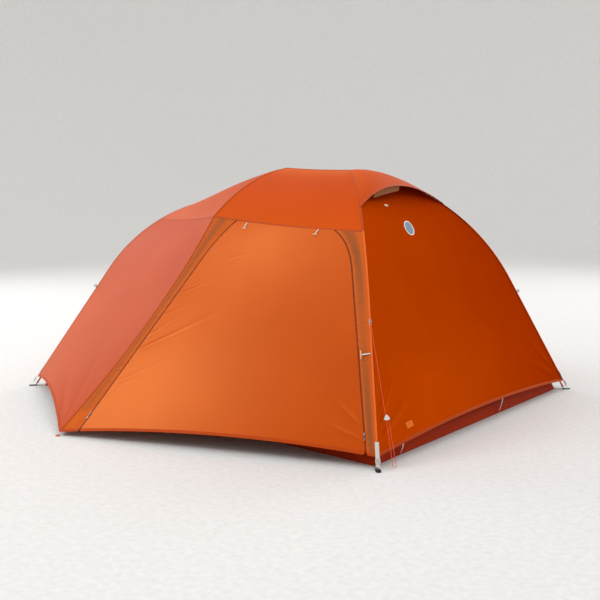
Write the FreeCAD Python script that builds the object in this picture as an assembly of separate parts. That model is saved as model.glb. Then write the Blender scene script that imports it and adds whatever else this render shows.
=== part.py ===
import FreeCAD, Part
import math
import os

from FreeCAD import Vector

# A three-person backpacking tent, pitched: a pole frame with two hubs, an inner tent with a
# bathtub floor, and a rainfly with a vestibule and a door on each side.
# X runs from the foot end to the head end, -Y is the front door's side, and Z is up. The origin
# is on the ground, in the middle of the base. Millimetres throughout.
# "Fly line" is the outer face of the rainfly where it lies over a pole.

# ---- overall sizes -------------------------------------------------------------------------
BASE_LENGTH = 2400.0  # fly lines at the ground, foot end to head end
HEAD_SPREAD = 1880.0  # fly lines at the ground, across the head end
FOOT_SPREAD = 1780.0
HEAD_HUB_X = 370.0
HEAD_HUB_Z = 1206.0
FOOT_HUB_X = -600.0
FOOT_HUB_Z = 1047.0
HEAD_LEG_TOP_ANGLE = 6.0  # degrees below level where a leg leaves its hub
HEAD_LEG_FOOT_ANGLE = 60.0  # degrees below level on the leg's straight run
FOOT_LEG_TOP_ANGLE = 8.8
FOOT_LEG_FOOT_ANGLE = 55.5
BROW_X = -50.0  # plane of the cross pole over the doors
BROW_PEAK_Z = 1221.0
BROW_TIP_Y = 575.0
BROW_TIP_Z = 975.0
BROW_TOP_ANGLE = 7.5
BROW_TIP_ANGLE = 38.0
VESTIBULE_X = -220.0  # where the vestibule's hem is staked out
VESTIBULE_REACH = 1414.0
VESTIBULE_STAKE_Z = 22.0

# ---- rainfly -------------------------------------------------------------------------------
FLY_SKIN = 1.2
SEAM_GAP = 1.5  # each sewn panel stops this far from its seam line
HEAD_SEAM_Z = 924.0  # eave seam where it meets the head leg
FOOT_SEAM_Z = 936.0
EAVE_SAG = 12.0
RIDGE_DIP = 4.0
RIDGE_BOW = 24.0
CREASE_BOW = Vector(45.0, 20.0, 0.0)
HEM_Z = 56.0  # hem's height where it crosses a leg
END_HEM_RISE = 38.0  # the end hems arch up between the legs
FRONT_HEM_RISE = 38.0
SIDE_HEM_BOW = Vector(28.0, 0.0, 62.0)  # foot-side hem, from the vestibule's stake to the leg
END_SAG = 28.0  # stretched end panels bow in between the legs
DOOR_GAP = 7.0  # between the door's edge and a zip coil's middle
DOOR_TOP_GAP = 3.0
FLAP_GAP = 3.6  # between a flap's edge and a zip coil's middle
ZIP_WIDTH = 5.0
ZIP_HEIGHT = 2.0
LEFT_ZIP_TOP = 0.172  # shares of the eave seam, from the brow tip to the head leg
LEFT_ZIP_BEND = (0.074, 0.21)  # share across the vestibule, share down it
LEFT_ZIP_FOOT = 0.068
RIGHT_ZIP_TOP = 0.82
RIGHT_ZIP_BEND = (0.925, 0.22)
RIGHT_ZIP_FOOT = 0.968
HOOD_LEG_Z = 1030.0  # vent hood's rim where it meets the legs
HOOD_RIM_X = 672.0
HOOD_RIM_Z = 1128.0
HOOD_LIFT = 3.0  # the hood lies over the leg seams by this much

# ---- poles ---------------------------------------------------------------------------------
POLE_RADIUS = 4.5
POLE_BORE = 3.8
POLE_INSET = 18.0  # pole's middle, inside the fly line
SHOCK_CORD_RADIUS = 1.2
FERRULE_RADIUS = 5.4
FERRULE_LENGTH = 60.0
FERRULE_CLEARANCE = 0.1
LEG_SECTIONS = 4
RIDGE_ARC_SHARE = 0.75  # share of the ridge pole's reach that is bent, from the foot hub
BROW_ELBOW = 40.0  # length of the bent middle section's arms
HUB_RADIUS = 17.0
HUB_HEIGHT = 16.0
HUB_SOCKET_RADIUS = 8.0
HUB_SOCKET_LENGTH = 42.0
TIP_PIN_RADIUS = 2.6
TIP_LENGTH = 20.0

# ---- inner tent ----------------------------------------------------------------------------
FLOOR_SETBACK_X = 55.0  # floor's edge, inside the fly lines' ends
FLOOR_SETBACK_Y = 50.0
FLOOR_SHEET = 2.0
TUB_HEIGHT = 125.0
TUB_SEAM_GAP = 2.0
INNER_SKIN = 1.0
INNER_INSET = 62.0  # inner tent's seams, inside the fly line
INNER_BULGE = 0.719  # share of the fly's bulge at the brow that the inner eave follows
EAVE_DROP = 55.0
INNER_EAVE_Z = 850.0
RIDGE_DROP = 78.0  # inner tent's peak, below the fly's
INNER_DOOR_U = (0.26, 0.80)  # shares along the side wall
INNER_DOOR_V = (0.06, 0.92)  # shares down it
INNER_DOOR_GAP = 3.0

# ---- fittings ------------------------------------------------------------------------------
CORNER_PLATE_WIDTH = 22.0
CORNER_PLATE_THICKNESS = 3.0
STAKE_HOLE_RADIUS = 4.0
STAKE_HOLE_OFFSET = 22.0  # stake hole's middle, beyond the pole tip's
STRAP_WIDTH = 15.0
STRAP_THICKNESS = 1.2
STRAP_OVERLAP = 55.0  # length of a corner strap that is sewn up the leg seam, above the hem
STRAP_LOW_Z = 16.0  # a corner strap's lower end
STRAP_OFF = 2.2  # corner strap's middle, outside the fly line
BUCKLE_SIZE = Vector(20.0, 26.0, 5.0)  # across, along and off the strap
GUYOUT_RADIUS = 8.0
GUYOUT_BORE = 4.0
GUYOUT_WIDTH = 2.5
GUYOUT_OFF = 9.5  # guy-out ring's middle, outside the fly line
LOOP_HOLE_RADIUS = 7.0
LOOP_WALL = 3.0
LOOP_HEIGHT = 4.0
GUYOUT_Z = 552.0
CLIP_LENGTH = 12.0
CLIP_RADIUS = 6.6
CLIP_CLEARANCE = 0.3
CLIP_LINK_RADIUS = 3.0  # the post between the two rings of the clip at the crossing
CLIP_WEB = 2.0
SLIDER_SIZE = Vector(7.0, 14.0, 4.0)  # across, along and off the zip
PULL_SIZE = Vector(4.0, 28.0, 1.6)
TOGGLE_TAPE_LENGTH = 34.0
TOGGLE_TAPE_WIDTH = 6.0
TOGGLE_BAR_LENGTH = 26.0
TOGGLE_BAR_RADIUS = 2.5
TOGGLE_PLACES = (0.12, 0.86)  # shares of the door's top seam
SIDE_TOGGLE_Z = 430.0
SIDE_TOGGLE_LENGTH = 40.0  # its tape's length and its bar's
SLIDER_T = 0.93  # where a closed zip's slider rests, near the hem
PATCH_SIZE = (55.0, 90.0)  # blank patch on the head end panel
PATCH_TURN = 30.0
PATCH_AT = (0.435, 0.393)  # shares across and down the end panel
TAB_AT = (0.333, 0.283)
TAG_AT = (0.14, 0.965)
TAB_SIZE = (28.0, 14.0)
TAG_SIZE = (52.0, 26.0)
LABEL_THICKNESS = 1.0
LABEL_LIFT = 0.4  # sewn pieces stand off the cloth by this much
HEM_STRAP_WIDTH = 12.0
HEM_STRAPS = ((-720.0, 6.0), (190.0, 4.0))  # y, and how far its foot is beyond the floor's edge
HEM_STRAP_LOW = Vector(0.0, 20.0, 12.0)  # its foot, from below its top at the floor's edge
GUYLINE_RADIUS = 1.25
KNOT_RADIUS = 3.6
TENSIONER_SIZE = Vector(22.0, 22.0, 4.0)  # across, along and off the line
TENSIONER_APEX = 12.0  # its apex, up the line from its middle
TENSIONER_OFF = 8.0  # its middle, below the place where the line doubles
GUYLINE_END = 16.0  # the line's end, below the same place
GUYLINE_FOLD = 12.0  # reach of the bend at that end

CORE = Vector(0.0, 0.0, 300.0)  # a point inside the tent, which tells inside from outside


# ---- curves --------------------------------------------------------------------------------
class Leg:
    """An arc that leaves a hub, then a straight run to the tip, all in one upright plane."""

    def __init__(self, hub, tip, top_angle, foot_angle):
        self.hub = hub
        self.top = math.radians(top_angle)
        self.foot = math.radians(foot_angle)
        reach = math.hypot(tip.x - hub.x, tip.y - hub.y)
        drop = hub.z - tip.z
        self.heading = Vector((tip.x - hub.x) / reach, (tip.y - hub.y) / reach, 0.0)
        across = math.sin(self.foot) - math.sin(self.top)
        down = math.cos(self.top) - math.cos(self.foot)
        scale = across * math.sin(self.foot) - down * math.cos(self.foot)
        self.radius = (reach * math.sin(self.foot) - drop * math.cos(self.foot)) / scale
        self.straight = (across * drop - down * reach) / scale
        self.arc = self.radius * (self.foot - self.top)
        self.length = self.arc + self.straight

    def point(self, s, inset=0.0):
        """The point s from the hub along the fly line, then inset towards the inside."""
        angle = min(self.top + max(s, 0.0) / self.radius, self.foot)
        run = max(s - self.arc, 0.0) + min(s, 0.0)
        out = self.radius * (math.sin(angle) - math.sin(self.top))
        out += run * math.cos(angle) - inset * math.sin(angle)
        down = self.radius * (math.cos(self.top) - math.cos(angle))
        down += run * math.sin(angle) + inset * math.cos(angle)
        return self.hub + self.heading * out - Vector(0.0, 0.0, down)

    def tangent(self, s):
        """Unit direction down the leg at s."""
        angle = min(self.top + max(s, 0.0) / self.radius, self.foot)
        return self.heading * math.cos(angle) - Vector(0.0, 0.0, math.sin(angle))

    def outward(self, s):
        """Unit direction off the leg at s, away from the tent."""
        angle = min(self.top + max(s, 0.0) / self.radius, self.foot)
        return self.heading * math.sin(angle) + Vector(0.0, 0.0, math.cos(angle))

    def at_height(self, z, inset=0.0):
        """Distance along the fly line at which the inset line passes height z."""
        low, high = 0.0, self.length * 1.2
        for _ in range(50):
            middle = (low + high) / 2.0
            if self.point(middle, inset).z > z:
                low = middle
            else:
                high = middle
        return low

    def curve(self, s0, s1, inset=0.0):
        """The stretch from s0 to s1 as a function of 0..1."""
        return lambda t: self.point(s0 + (s1 - s0) * t, inset)

    def wire(self, s0, s1, inset):
        """The same stretch as a wire of an arc, a straight run, or both."""
        edges = []
        bend = min(s1, self.arc)
        if s0 < bend:
            middle = self.point((s0 + bend) / 2.0, inset)
            arc = Part.Arc(self.point(s0, inset), middle, self.point(bend, inset))
            edges.append(arc.toShape())
        if s1 > self.arc:
            start = self.point(max(s0, self.arc), inset)
            edges.append(Part.LineSegment(start, self.point(s1, inset)).toShape())
        return Part.Wire(edges)


def line(start, end):
    """A straight line as a function of 0..1."""
    return lambda t: start * (1.0 - t) + end * t


def bowed(start, end, bow):
    """A line from start to end whose middle is moved by the vector bow."""
    return lambda t: start * (1.0 - t) + end * t + bow * (4.0 * t * (1.0 - t))


def opposite(p):
    """The same point or direction on the rear side."""
    return Vector(p.x, -p.y, p.z)


def part_of(curve, t0, t1):
    """The stretch of a curve from t0 to t1."""
    return lambda t: curve(t0 + (t1 - t0) * t)


def through(start, middle, end, share):
    """A quadratic curve that passes middle at the parameter share."""
    lift = (middle - start * (1.0 - share) - end * share) * (1.0 / (share * (1.0 - share)))
    return lambda t: start * (1.0 - t) + end * t + lift * (t * (1.0 - t))


def zip_line(start, bend, foot):
    """A zip's path: it curves away from the eave seam, then runs straight to the hem."""
    straight = (foot - bend).Length
    lead = bend - (foot - bend) * ((start - bend).Length * 0.55 / straight)
    curved = (start - lead).Length + (lead - bend).Length
    share = curved / (curved + straight)

    def at(t):
        if t < share:
            k = t / share
            return start * (1 - k) ** 2 + lead * (2 * k * (1 - k)) + bend * k ** 2
        return bend + (foot - bend) * ((t - share) / (1.0 - share))

    return at


def coons(top, bottom, left, right, sag=0.0):
    """The surface through four edge curves. sag moves its middle towards the tent's core."""
    corners = [top(0.0), top(1.0), bottom(0.0), bottom(1.0)]
    across = (corners[1] + corners[3]) - (corners[0] + corners[2])
    down = (corners[2] + corners[3]) - (corners[0] + corners[1])
    inward = across.cross(down).normalize()
    middle = (corners[0] + corners[1] + corners[2] + corners[3]) * 0.25
    if inward.dot(CORE - middle) < 0.0:
        inward = inward * -1.0

    def at(u, v):
        p = top(u) * (1 - v) + bottom(u) * v + left(v) * (1 - u) + right(v) * u
        p = p - corners[0] * ((1 - u) * (1 - v)) - corners[1] * (u * (1 - v))
        p = p - corners[2] * ((1 - u) * v) - corners[3] * (u * v)
        return p + inward * (sag * 16.0 * u * (1 - u) * v * (1 - v))

    return at


# ---- solids --------------------------------------------------------------------------------
def patch_normal(patch, u, v):
    """Unit normal of a patch, towards the tent's core."""
    step = 0.002
    across = patch(u + step, v) - patch(u - step, v)
    down = patch(u, v + step) - patch(u, v - step)
    normal = across.cross(down).normalize()
    if normal.dot(CORE - patch(u, v)) < 0.0:
        normal = normal * -1.0
    return normal


def closed_skin(outer, inner):
    """A solid between two grids of points, with ruled sides."""
    faces, borders = [], []
    for grid in (outer, inner):
        surface = Part.BSplineSurface()
        surface.interpolate(grid)
        u0, u1, v0, v1 = surface.bounds()
        lines = (surface.uIso(u0), surface.uIso(u1), surface.vIso(v0), surface.vIso(v1))
        borders.append([line.toShape() for line in lines])
        faces.append(surface.toShape())
    for one, other in zip(*borders):
        faces.append(Part.makeRuledSurface(one, other))
    shell = Part.makeShell(faces)
    shell.sewShape()
    solid = Part.makeSolid(Part.Shell(shell.Faces))
    if solid.Volume < 0.0:
        solid.reverse()
    return solid


def slant(patch, u, v):
    """How much longer a gap measured along u is than the same gap square to the edge."""
    step = 0.01
    v0, v1 = max(v - step, 0.0), min(v + step, 1.0)
    across = patch(u + step, v) - patch(u - step, v)
    return 1.0 / max(math.sin(across.getAngle(patch(u, v1) - patch(u, v0))), 0.2)


def skin(patch, thickness, u=(0.0, 1.0), v=(0.0, 1.0), gap=SEAM_GAP, cells=8, lift=0.0):
    """A closed sheet whose outer face follows the patch, raised by lift.

    It stops short of the patch's edges by gap, or by four gaps: at u's start and end, then v's.
    """
    gaps = gap if isinstance(gap, tuple) else (gap,) * 4
    middle = (u[0] + u[1]) / 2.0
    tall = (patch(middle, v[1]) - patch(middle, v[0])).Length
    v_start = v[0] + (v[1] - v[0]) * gaps[2] / tall
    v_end = v[1] - (v[1] - v[0]) * gaps[3] / tall
    outer, inner = [], []
    for i in range(cells + 1):
        row_out, row_in = [], []
        for j in range(cells + 1):
            b = v_start + (v_end - v_start) * j / cells
            wide = (patch(u[1], b) - patch(u[0], b)).Length
            u_start = u[0] + (u[1] - u[0]) * gaps[0] / wide * slant(patch, u[0], b)
            u_end = u[1] - (u[1] - u[0]) * gaps[1] / wide * slant(patch, u[1], b)
            a = u_start + (u_end - u_start) * i / cells
            normal = patch_normal(patch, a, b)
            row_out.append(patch(a, b) - normal * lift)
            row_in.append(patch(a, b) + normal * (thickness - lift))
        outer.append(row_out)
        inner.append(row_in)
    return closed_skin(outer, inner)


def rod(wire, radius, bore=0.0):
    """A round bar or tube along a wire."""
    edge = wire.Edges[0]
    start = edge.valueAt(edge.FirstParameter)
    along = edge.tangentAt(edge.FirstParameter)
    if wire.Edges[-1].valueAt(wire.Edges[-1].LastParameter).isEqual(start, 0.01):
        raise ValueError("a rod's wire must be open")
    bar = wire.makePipeShell([Part.Wire(Part.makeCircle(radius, start, along))], True, False)
    if bore > 0.0:
        hole = wire.makePipeShell([Part.Wire(Part.makeCircle(bore, start, along))], True, False)
        bar = bar.cut(hole).Solids[0]
    return bar


def cylinder(start, end, radius, bore=0.0):
    """A straight round bar or tube between two points."""
    bar = Part.makeCylinder(radius, (end - start).Length, start, end - start)
    if bore > 0.0:
        bar = bar.cut(Part.makeCylinder(bore, (end - start).Length, start, end - start))
    return bar


def block(centre, along, across, size):
    """A box of size (across, along, off) about a centre, turned to the two directions."""
    along = Vector(along).normalize()
    off = Vector(across).cross(along).normalize()
    across = along.cross(off).normalize()
    base = centre - across * (size.x / 2) - along * (size.y / 2) - off * (size.z / 2)
    a, b = across * size.x, along * size.y
    loop = Part.makePolygon([base, base + a, base + a + b, base + b, base])
    return Part.Face(loop).extrude(off * size.z)


def strap(points, across, width, thickness):
    """Flat webbing that follows points, with its width along the direction across."""
    sections = []
    for i, point in enumerate(points):
        before, after = points[max(i - 1, 0)], points[min(i + 1, len(points) - 1)]
        along = (after - before).normalize()
        side = (across - along * across.dot(along)).normalize() * (width / 2.0)
        off = along.cross(side).normalize() * (thickness / 2.0)
        ring = [point - side - off, point + side - off, point + side + off, point - side + off]
        sections.append(Part.makePolygon(ring + ring[:1]))
    solid = Part.makeLoft(sections, True, True)
    if solid.Volume < 0.0:
        solid.reverse()
    return solid


def mirrored(shape):
    """The same shape on the other side of the tent's long middle plane."""
    return shape.mirror(Vector(0.0, 0.0, 0.0), Vector(0.0, 1.0, 0.0))


def both_sides(shapes):
    """The shapes and their mirror images, as one list."""
    return list(shapes) + [mirrored(shape) for shape in shapes]


def save(name, shapes):
    """Writes one node: one solid, or several separate ones."""
    solids = []
    for shape in shapes:
        solids.extend(shape.Solids)
    shape = solids[0] if len(solids) == 1 else Part.makeCompound(solids)
    bad = [solid for solid in solids if not solid.isValid() or solid.Volume <= 0.0]
    if bad:
        raise ValueError(name + " has a solid that is not valid")
    shape.exportStep(os.path.join("parts", name + ".step"))


def save_pair(name, shape):
    """Writes a front node and its mirrored rear node."""
    shapes = shape if isinstance(shape, list) else [shape]
    save("front_" + name, shapes)
    save("rear_" + name, [mirrored(item) for item in shapes])


# ---- the tent's own lines, front side ------------------------------------------------------
PEAK = Vector(BROW_X, 0.0, BROW_PEAK_Z)
HEAD_HUB = Vector(HEAD_HUB_X, 0.0, HEAD_HUB_Z)
FOOT_HUB = Vector(FOOT_HUB_X, 0.0, FOOT_HUB_Z)
HEAD_TIP = Vector(BASE_LENGTH / 2.0, -HEAD_SPREAD / 2.0, 0.0)
FOOT_TIP = Vector(-BASE_LENGTH / 2.0, -FOOT_SPREAD / 2.0, 0.0)
BROW_TIP = Vector(BROW_X, -BROW_TIP_Y, BROW_TIP_Z)
STAKE_OUT = Vector(VESTIBULE_X, -VESTIBULE_REACH, VESTIBULE_STAKE_Z)

head_leg = Leg(HEAD_HUB, HEAD_TIP, HEAD_LEG_TOP_ANGLE, HEAD_LEG_FOOT_ANGLE)
foot_leg = Leg(FOOT_HUB, FOOT_TIP, FOOT_LEG_TOP_ANGLE, FOOT_LEG_FOOT_ANGLE)
brow = Leg(PEAK, BROW_TIP, BROW_TOP_ANGLE, BROW_TIP_ANGLE)

head_seam_s = head_leg.at_height(HEAD_SEAM_Z)
foot_seam_s = foot_leg.at_height(FOOT_SEAM_Z)
head_hem_s = head_leg.at_height(HEM_Z)
foot_hem_s = foot_leg.at_height(HEM_Z)

DOWN = Vector(0.0, 0.0, -1.0)
ridge_head = bowed(PEAK, HEAD_HUB, DOWN * RIDGE_DIP)
ridge_foot = bowed(PEAK, FOOT_HUB, DOWN * -RIDGE_BOW)
eave_head = bowed(BROW_TIP, head_leg.point(head_seam_s), DOWN * EAVE_SAG)
eave_foot = bowed(BROW_TIP, foot_leg.point(foot_seam_s), DOWN * EAVE_SAG)
crease = bowed(BROW_TIP, STAKE_OUT, CREASE_BOW)
front_hem = bowed(STAKE_OUT, head_leg.point(head_hem_s), DOWN * -FRONT_HEM_RISE)
side_hem = bowed(STAKE_OUT, foot_leg.point(foot_hem_s), SIDE_HEM_BOW)

head_leg_low = head_leg.curve(head_seam_s, head_hem_s)
foot_leg_low = foot_leg.curve(foot_seam_s, foot_hem_s)
vestibule = coons(eave_head, front_hem, crease, head_leg_low)
left_zip = zip_line(eave_head(LEFT_ZIP_TOP), vestibule(*LEFT_ZIP_BEND), front_hem(LEFT_ZIP_FOOT))
right_zip = zip_line(eave_head(RIGHT_ZIP_TOP), vestibule(*RIGHT_ZIP_BEND),
                     front_hem(RIGHT_ZIP_FOOT))
door_top = part_of(eave_head, LEFT_ZIP_TOP, RIGHT_ZIP_TOP)
door_hem = part_of(front_hem, LEFT_ZIP_FOOT, RIGHT_ZIP_FOOT)
door_patch = coons(door_top, door_hem, left_zip, right_zip)


# ---- rainfly -------------------------------------------------------------------------------
def build_roof():
    """Two roof panels each side, from the ridge down to the eave seam."""
    to_head = coons(ridge_head, eave_head, brow.curve(0.0, brow.length),
                    head_leg.curve(0.0, head_seam_s))
    to_foot = coons(ridge_foot, eave_foot, brow.curve(0.0, brow.length),
                    foot_leg.curve(0.0, foot_seam_s))
    save_pair("roof_head_panel", skin(to_head, FLY_SKIN))
    save_pair("roof_foot_panel", skin(to_foot, FLY_SKIN))


def end_patch(leg, top_s, hem_s, inset):
    """The surface of an end panel, between the front and the rear leg."""
    front = leg.curve(top_s, hem_s, inset)

    top = line(front(0.0), opposite(front(0.0)))
    hem = bowed(front(1.0), opposite(front(1.0)), DOWN * -END_HEM_RISE)
    return coons(top, hem, front, lambda t: opposite(front(t)), END_SAG)


def banded(patch, thickness, bands, gap=SEAM_GAP):
    """An end panel as horizontal bands of cloth, each nearly flat, sewn edge to edge."""
    pieces = []
    for i in range(bands):
        v = (i / bands, (i + 1) / bands)
        pieces.append(skin(patch, thickness, v=v, gap=gap))
    return pieces


def build_ends():
    """Head and foot panels of the rainfly, and the vent hood over the head panel."""
    clear = HOOD_LIFT + FLY_SKIN
    save("head_end_panel", banded(end_patch(head_leg, HUB_RADIUS * 2.5, head_hem_s, clear),
                                  FLY_SKIN, 4))
    save("foot_end_panel", banded(end_patch(foot_leg, HUB_RADIUS * 2.5, foot_hem_s, 0.0),
                                  FLY_SKIN, 4))
    rim_s = head_leg.at_height(HOOD_LEG_Z)
    front = head_leg.curve(HUB_RADIUS, rim_s, -HOOD_LIFT)
    rim = through(front(1.0), Vector(HOOD_RIM_X, 0.0, HOOD_RIM_Z), opposite(front(1.0)), 0.5)
    hood = coons(line(front(0.0), opposite(front(0.0))), rim, front, lambda t: opposite(front(t)))
    save("vent_hood", [skin(hood, FLY_SKIN)])


def build_vestibules():
    """Cloth of the two vestibules: foot-side panel, the flaps beside the zips, the door."""
    foot_side = coons(eave_foot, side_hem, crease, foot_leg_low)
    left = coons(part_of(eave_head, 0.0, LEFT_ZIP_TOP), part_of(front_hem, 0.0, LEFT_ZIP_FOOT),
                 crease, left_zip)
    right = coons(part_of(eave_head, RIGHT_ZIP_TOP, 1.0), part_of(front_hem, RIGHT_ZIP_FOOT, 1.0),
                  right_zip, head_leg_low)
    halves = [skin(foot_side, FLY_SKIN, v=(0.0, 0.5)), skin(foot_side, FLY_SKIN, v=(0.5, 1.0))]
    save_pair("vestibule_panel", halves)
    left_gaps = (SEAM_GAP, FLAP_GAP, SEAM_GAP, SEAM_GAP)
    right_gaps = (FLAP_GAP, SEAM_GAP, SEAM_GAP, SEAM_GAP)
    door_gaps = (DOOR_GAP, DOOR_GAP, DOOR_TOP_GAP, SEAM_GAP)
    save_pair("left_zip_flap", skin(left, FLY_SKIN, gap=left_gaps, cells=14))
    save_pair("right_zip_flap", skin(right, FLY_SKIN, gap=right_gaps, cells=14))
    save_pair("fly_door", skin(door_patch, FLY_SKIN, gap=door_gaps, cells=14))


# ---- poles ---------------------------------------------------------------------------------
def pole_sections(leg, start, end, count):
    """A leg's tube sections between two distances from the hub."""
    step = (end - start) / count
    wires = [leg.wire(start + step * i, start + step * (i + 1), POLE_INSET) for i in range(count)]
    return [rod(wire, POLE_RADIUS, POLE_BORE) for wire in wires]


def ferrules(leg, start, end, count):
    """Sleeves over the joints between a leg's sections."""
    bore = POLE_RADIUS + FERRULE_CLEARANCE
    rings = []
    for i in range(1, count):
        s = start + (end - start) * i / count
        wire = leg.wire(s - FERRULE_LENGTH / 2.0, s + FERRULE_LENGTH / 2.0, POLE_INSET)
        rings.append(rod(wire, FERRULE_RADIUS, bore))
    return rings


def pole_end(leg):
    """Distance at which a leg's tube stops above its ground tip."""
    return leg.at_height(TIP_LENGTH, POLE_INSET)


def pole_tip(leg):
    """Collar and pin that stand in the corner plate; the pin's lowest edge is on the ground."""
    shoulder = leg.point(pole_end(leg), POLE_INSET)
    low = leg.point(leg.at_height(TIP_PIN_RADIUS * math.cos(leg.foot), POLE_INSET), POLE_INSET)
    along = leg.tangent(leg.length)
    collar = cylinder(shoulder, shoulder + along * 6.0, FERRULE_RADIUS + 0.8)
    return collar.fuse(cylinder(shoulder, low, TIP_PIN_RADIUS)).removeSplitter()


def ridge_line():
    """The ridge pole's middle line: bent up from the foot hub, then level to the head hub."""
    foot = Vector(FOOT_HUB_X, 0.0, FOOT_HUB_Z - POLE_INSET)
    head = Vector(HEAD_HUB_X, 0.0, HEAD_HUB_Z - POLE_INSET)
    reach = (head.x - foot.x) * RIDGE_ARC_SHARE
    angle = math.degrees(2.0 * math.atan((head.z - foot.z) / reach))
    return Leg(foot, head, -angle, 0.0)


ridge = ridge_line()
POLE_START = HUB_RADIUS - 3.0  # a pole's end inside its hub's socket
BROW_END = 8.0  # the cross pole stops this far before the fly's brow tip


def brow_elbow():
    """Three points of the cross pole's bent middle section, front to rear."""
    front = brow.point(BROW_ELBOW, POLE_INSET)
    rise = abs(front.y) * math.tan((brow.top + BROW_ELBOW / brow.radius) / 2.0)
    return front, Vector(BROW_X, 0.0, front.z + rise), opposite(front)


def build_poles():
    """Leg poles, ridge pole, cross pole, their ferrules, tips and shock cords."""
    for name, leg in (("head_leg_pole", head_leg), ("foot_leg_pole", foot_leg)):
        save_pair(name, pole_sections(leg, POLE_START, pole_end(leg), LEG_SECTIONS))
    thirds = [POLE_START + (ridge.length - 2.0 * POLE_START) * i / 3.0 for i in range(4)]
    wires = [ridge.wire(thirds[i], thirds[i + 1], 0.0) for i in range(3)]
    save("ridge_pole", [rod(wire, POLE_RADIUS, POLE_BORE) for wire in wires])
    arm = rod(brow.wire(BROW_ELBOW, brow.length - BROW_END, POLE_INSET), POLE_RADIUS, POLE_BORE)
    middle = rod(Part.Wire([Part.Arc(*brow_elbow()).toShape()]), POLE_RADIUS, POLE_BORE)
    save("brow_pole", [middle] + both_sides([arm]))
    rings = []
    for leg in (head_leg, foot_leg):
        rings += both_sides(ferrules(leg, POLE_START, pole_end(leg), LEG_SECTIONS))
    half = FERRULE_LENGTH / 2.0
    bore = POLE_RADIUS + FERRULE_CLEARANCE
    for s in thirds[1:3]:
        rings.append(rod(ridge.wire(s - half, s + half, 0.0), FERRULE_RADIUS, bore))
    save("pole_ferrules", rings)
    cap = cylinder(brow.point(brow.length - BROW_END, POLE_INSET),
                   brow.point(brow.length - 1.0, POLE_INSET), POLE_RADIUS + 0.8)
    save("pole_tips", both_sides([pole_tip(head_leg), pole_tip(foot_leg), cap]))
    cords = []
    for leg in (head_leg, foot_leg):
        wire = leg.wire(POLE_START + 4.0, pole_end(leg) - 4.0, POLE_INSET)
        cords += both_sides([rod(wire, SHOCK_CORD_RADIUS)])
    wire = ridge.wire(POLE_START + 4.0, ridge.length - POLE_START - 4.0, 0.0)
    cords.append(rod(wire, SHOCK_CORD_RADIUS))
    save("shock_cords", cords)


def hub(centre, directions):
    """A moulded hub: a round core with one socket for each pole that meets it."""
    half = Vector(0.0, 0.0, HUB_HEIGHT / 2.0)
    body = cylinder(centre - half, centre + half, HUB_RADIUS)
    for start, along in directions:
        body = body.fuse(cylinder(centre, start + along * HUB_SOCKET_LENGTH, HUB_SOCKET_RADIUS))
    for start, along in directions:
        mouth = start + along * (HUB_SOCKET_LENGTH + 5.0)
        body = body.cut(cylinder(start, mouth, POLE_RADIUS + 0.6))
    return body.removeSplitter()


def build_hubs():
    """The two hubs that join the ridge pole to its legs, and the clip at the brow crossing."""
    inner = POLE_START - 1.0
    for name, leg, s, way in (("head_hub", head_leg, ridge.length, -1.0),
                              ("foot_hub", foot_leg, 0.0, 1.0)):
        near = abs(s - inner)
        directions = [(ridge.point(near), ridge.tangent(near) * way)]
        start, along = leg.point(inner, POLE_INSET), leg.tangent(POLE_START + 14.0)
        directions.append((start, along))
        directions.append((opposite(start), opposite(along)))
        save(name, [hub(ridge.point(s), directions)])
    bore = POLE_RADIUS + CLIP_CLEARANCE
    half = CLIP_LENGTH / 2.0
    on_brow = Vector(BROW_X, 0.0, brow_elbow()[1].z)
    crossing = ridge.point((BROW_X - FOOT_HUB_X) / (HEAD_HUB_X - FOOT_HUB_X) * ridge.length)
    along = ridge.tangent(ridge.length / 2.0) * half
    upper = cylinder(on_brow - Vector(0.0, half, 0.0), on_brow + Vector(0.0, half, 0.0),
                     CLIP_RADIUS)
    lower = cylinder(crossing - along, crossing + along, CLIP_RADIUS)
    body = upper.fuse([lower, cylinder(crossing, on_brow, CLIP_LINK_RADIUS)])
    body = body.cut(cylinder(on_brow - Vector(0.0, half, 0.0), on_brow + Vector(0.0, half, 0.0),
                             bore))
    save("brow_clip", [body.cut(cylinder(crossing - along, crossing + along, bore))])


def pole_clip(leg, s):
    """A ring round a pole and a web from it to the inner tent's seam."""
    wire = leg.wire(s - CLIP_LENGTH / 2.0, s + CLIP_LENGTH / 2.0, POLE_INSET)
    ring = rod(wire, CLIP_RADIUS, POLE_RADIUS + CLIP_CLEARANCE)
    near, far = POLE_INSET + CLIP_RADIUS - 1.0, INNER_INSET - 2.0
    centre = leg.point(s, (near + far) / 2.0)
    web = block(centre, leg.tangent(s), leg.outward(s), Vector(far - near, CLIP_LENGTH, CLIP_WEB))
    return ring.fuse(web).removeSplitter()


def build_clips():
    """Clips that hang the inner tent from the leg poles, between the ferrules."""
    clips = []
    for leg in (head_leg, foot_leg):
        step = (pole_end(leg) - POLE_START) / LEG_SECTIONS
        for i in range(LEG_SECTIONS - 1):
            clips.append(pole_clip(leg, POLE_START + step * (i + 0.6)))
    save("pole_clips", both_sides(clips))


# ---- inner tent ----------------------------------------------------------------------------
HEAD_FLOOR = Vector(BASE_LENGTH / 2.0 - FLOOR_SETBACK_X, FLOOR_SETBACK_Y - HEAD_SPREAD / 2.0, 0.0)
FOOT_FLOOR = Vector(FLOOR_SETBACK_X - BASE_LENGTH / 2.0, FLOOR_SETBACK_Y - FOOT_SPREAD / 2.0, 0.0)
head_tub_s = head_leg.at_height(TUB_HEIGHT, INNER_INSET)
foot_tub_s = foot_leg.at_height(TUB_HEIGHT, INNER_INSET)
HEAD_TUB = head_leg.point(head_tub_s, INNER_INSET)
FOOT_TUB = foot_leg.point(foot_tub_s, INNER_INSET)


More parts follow.
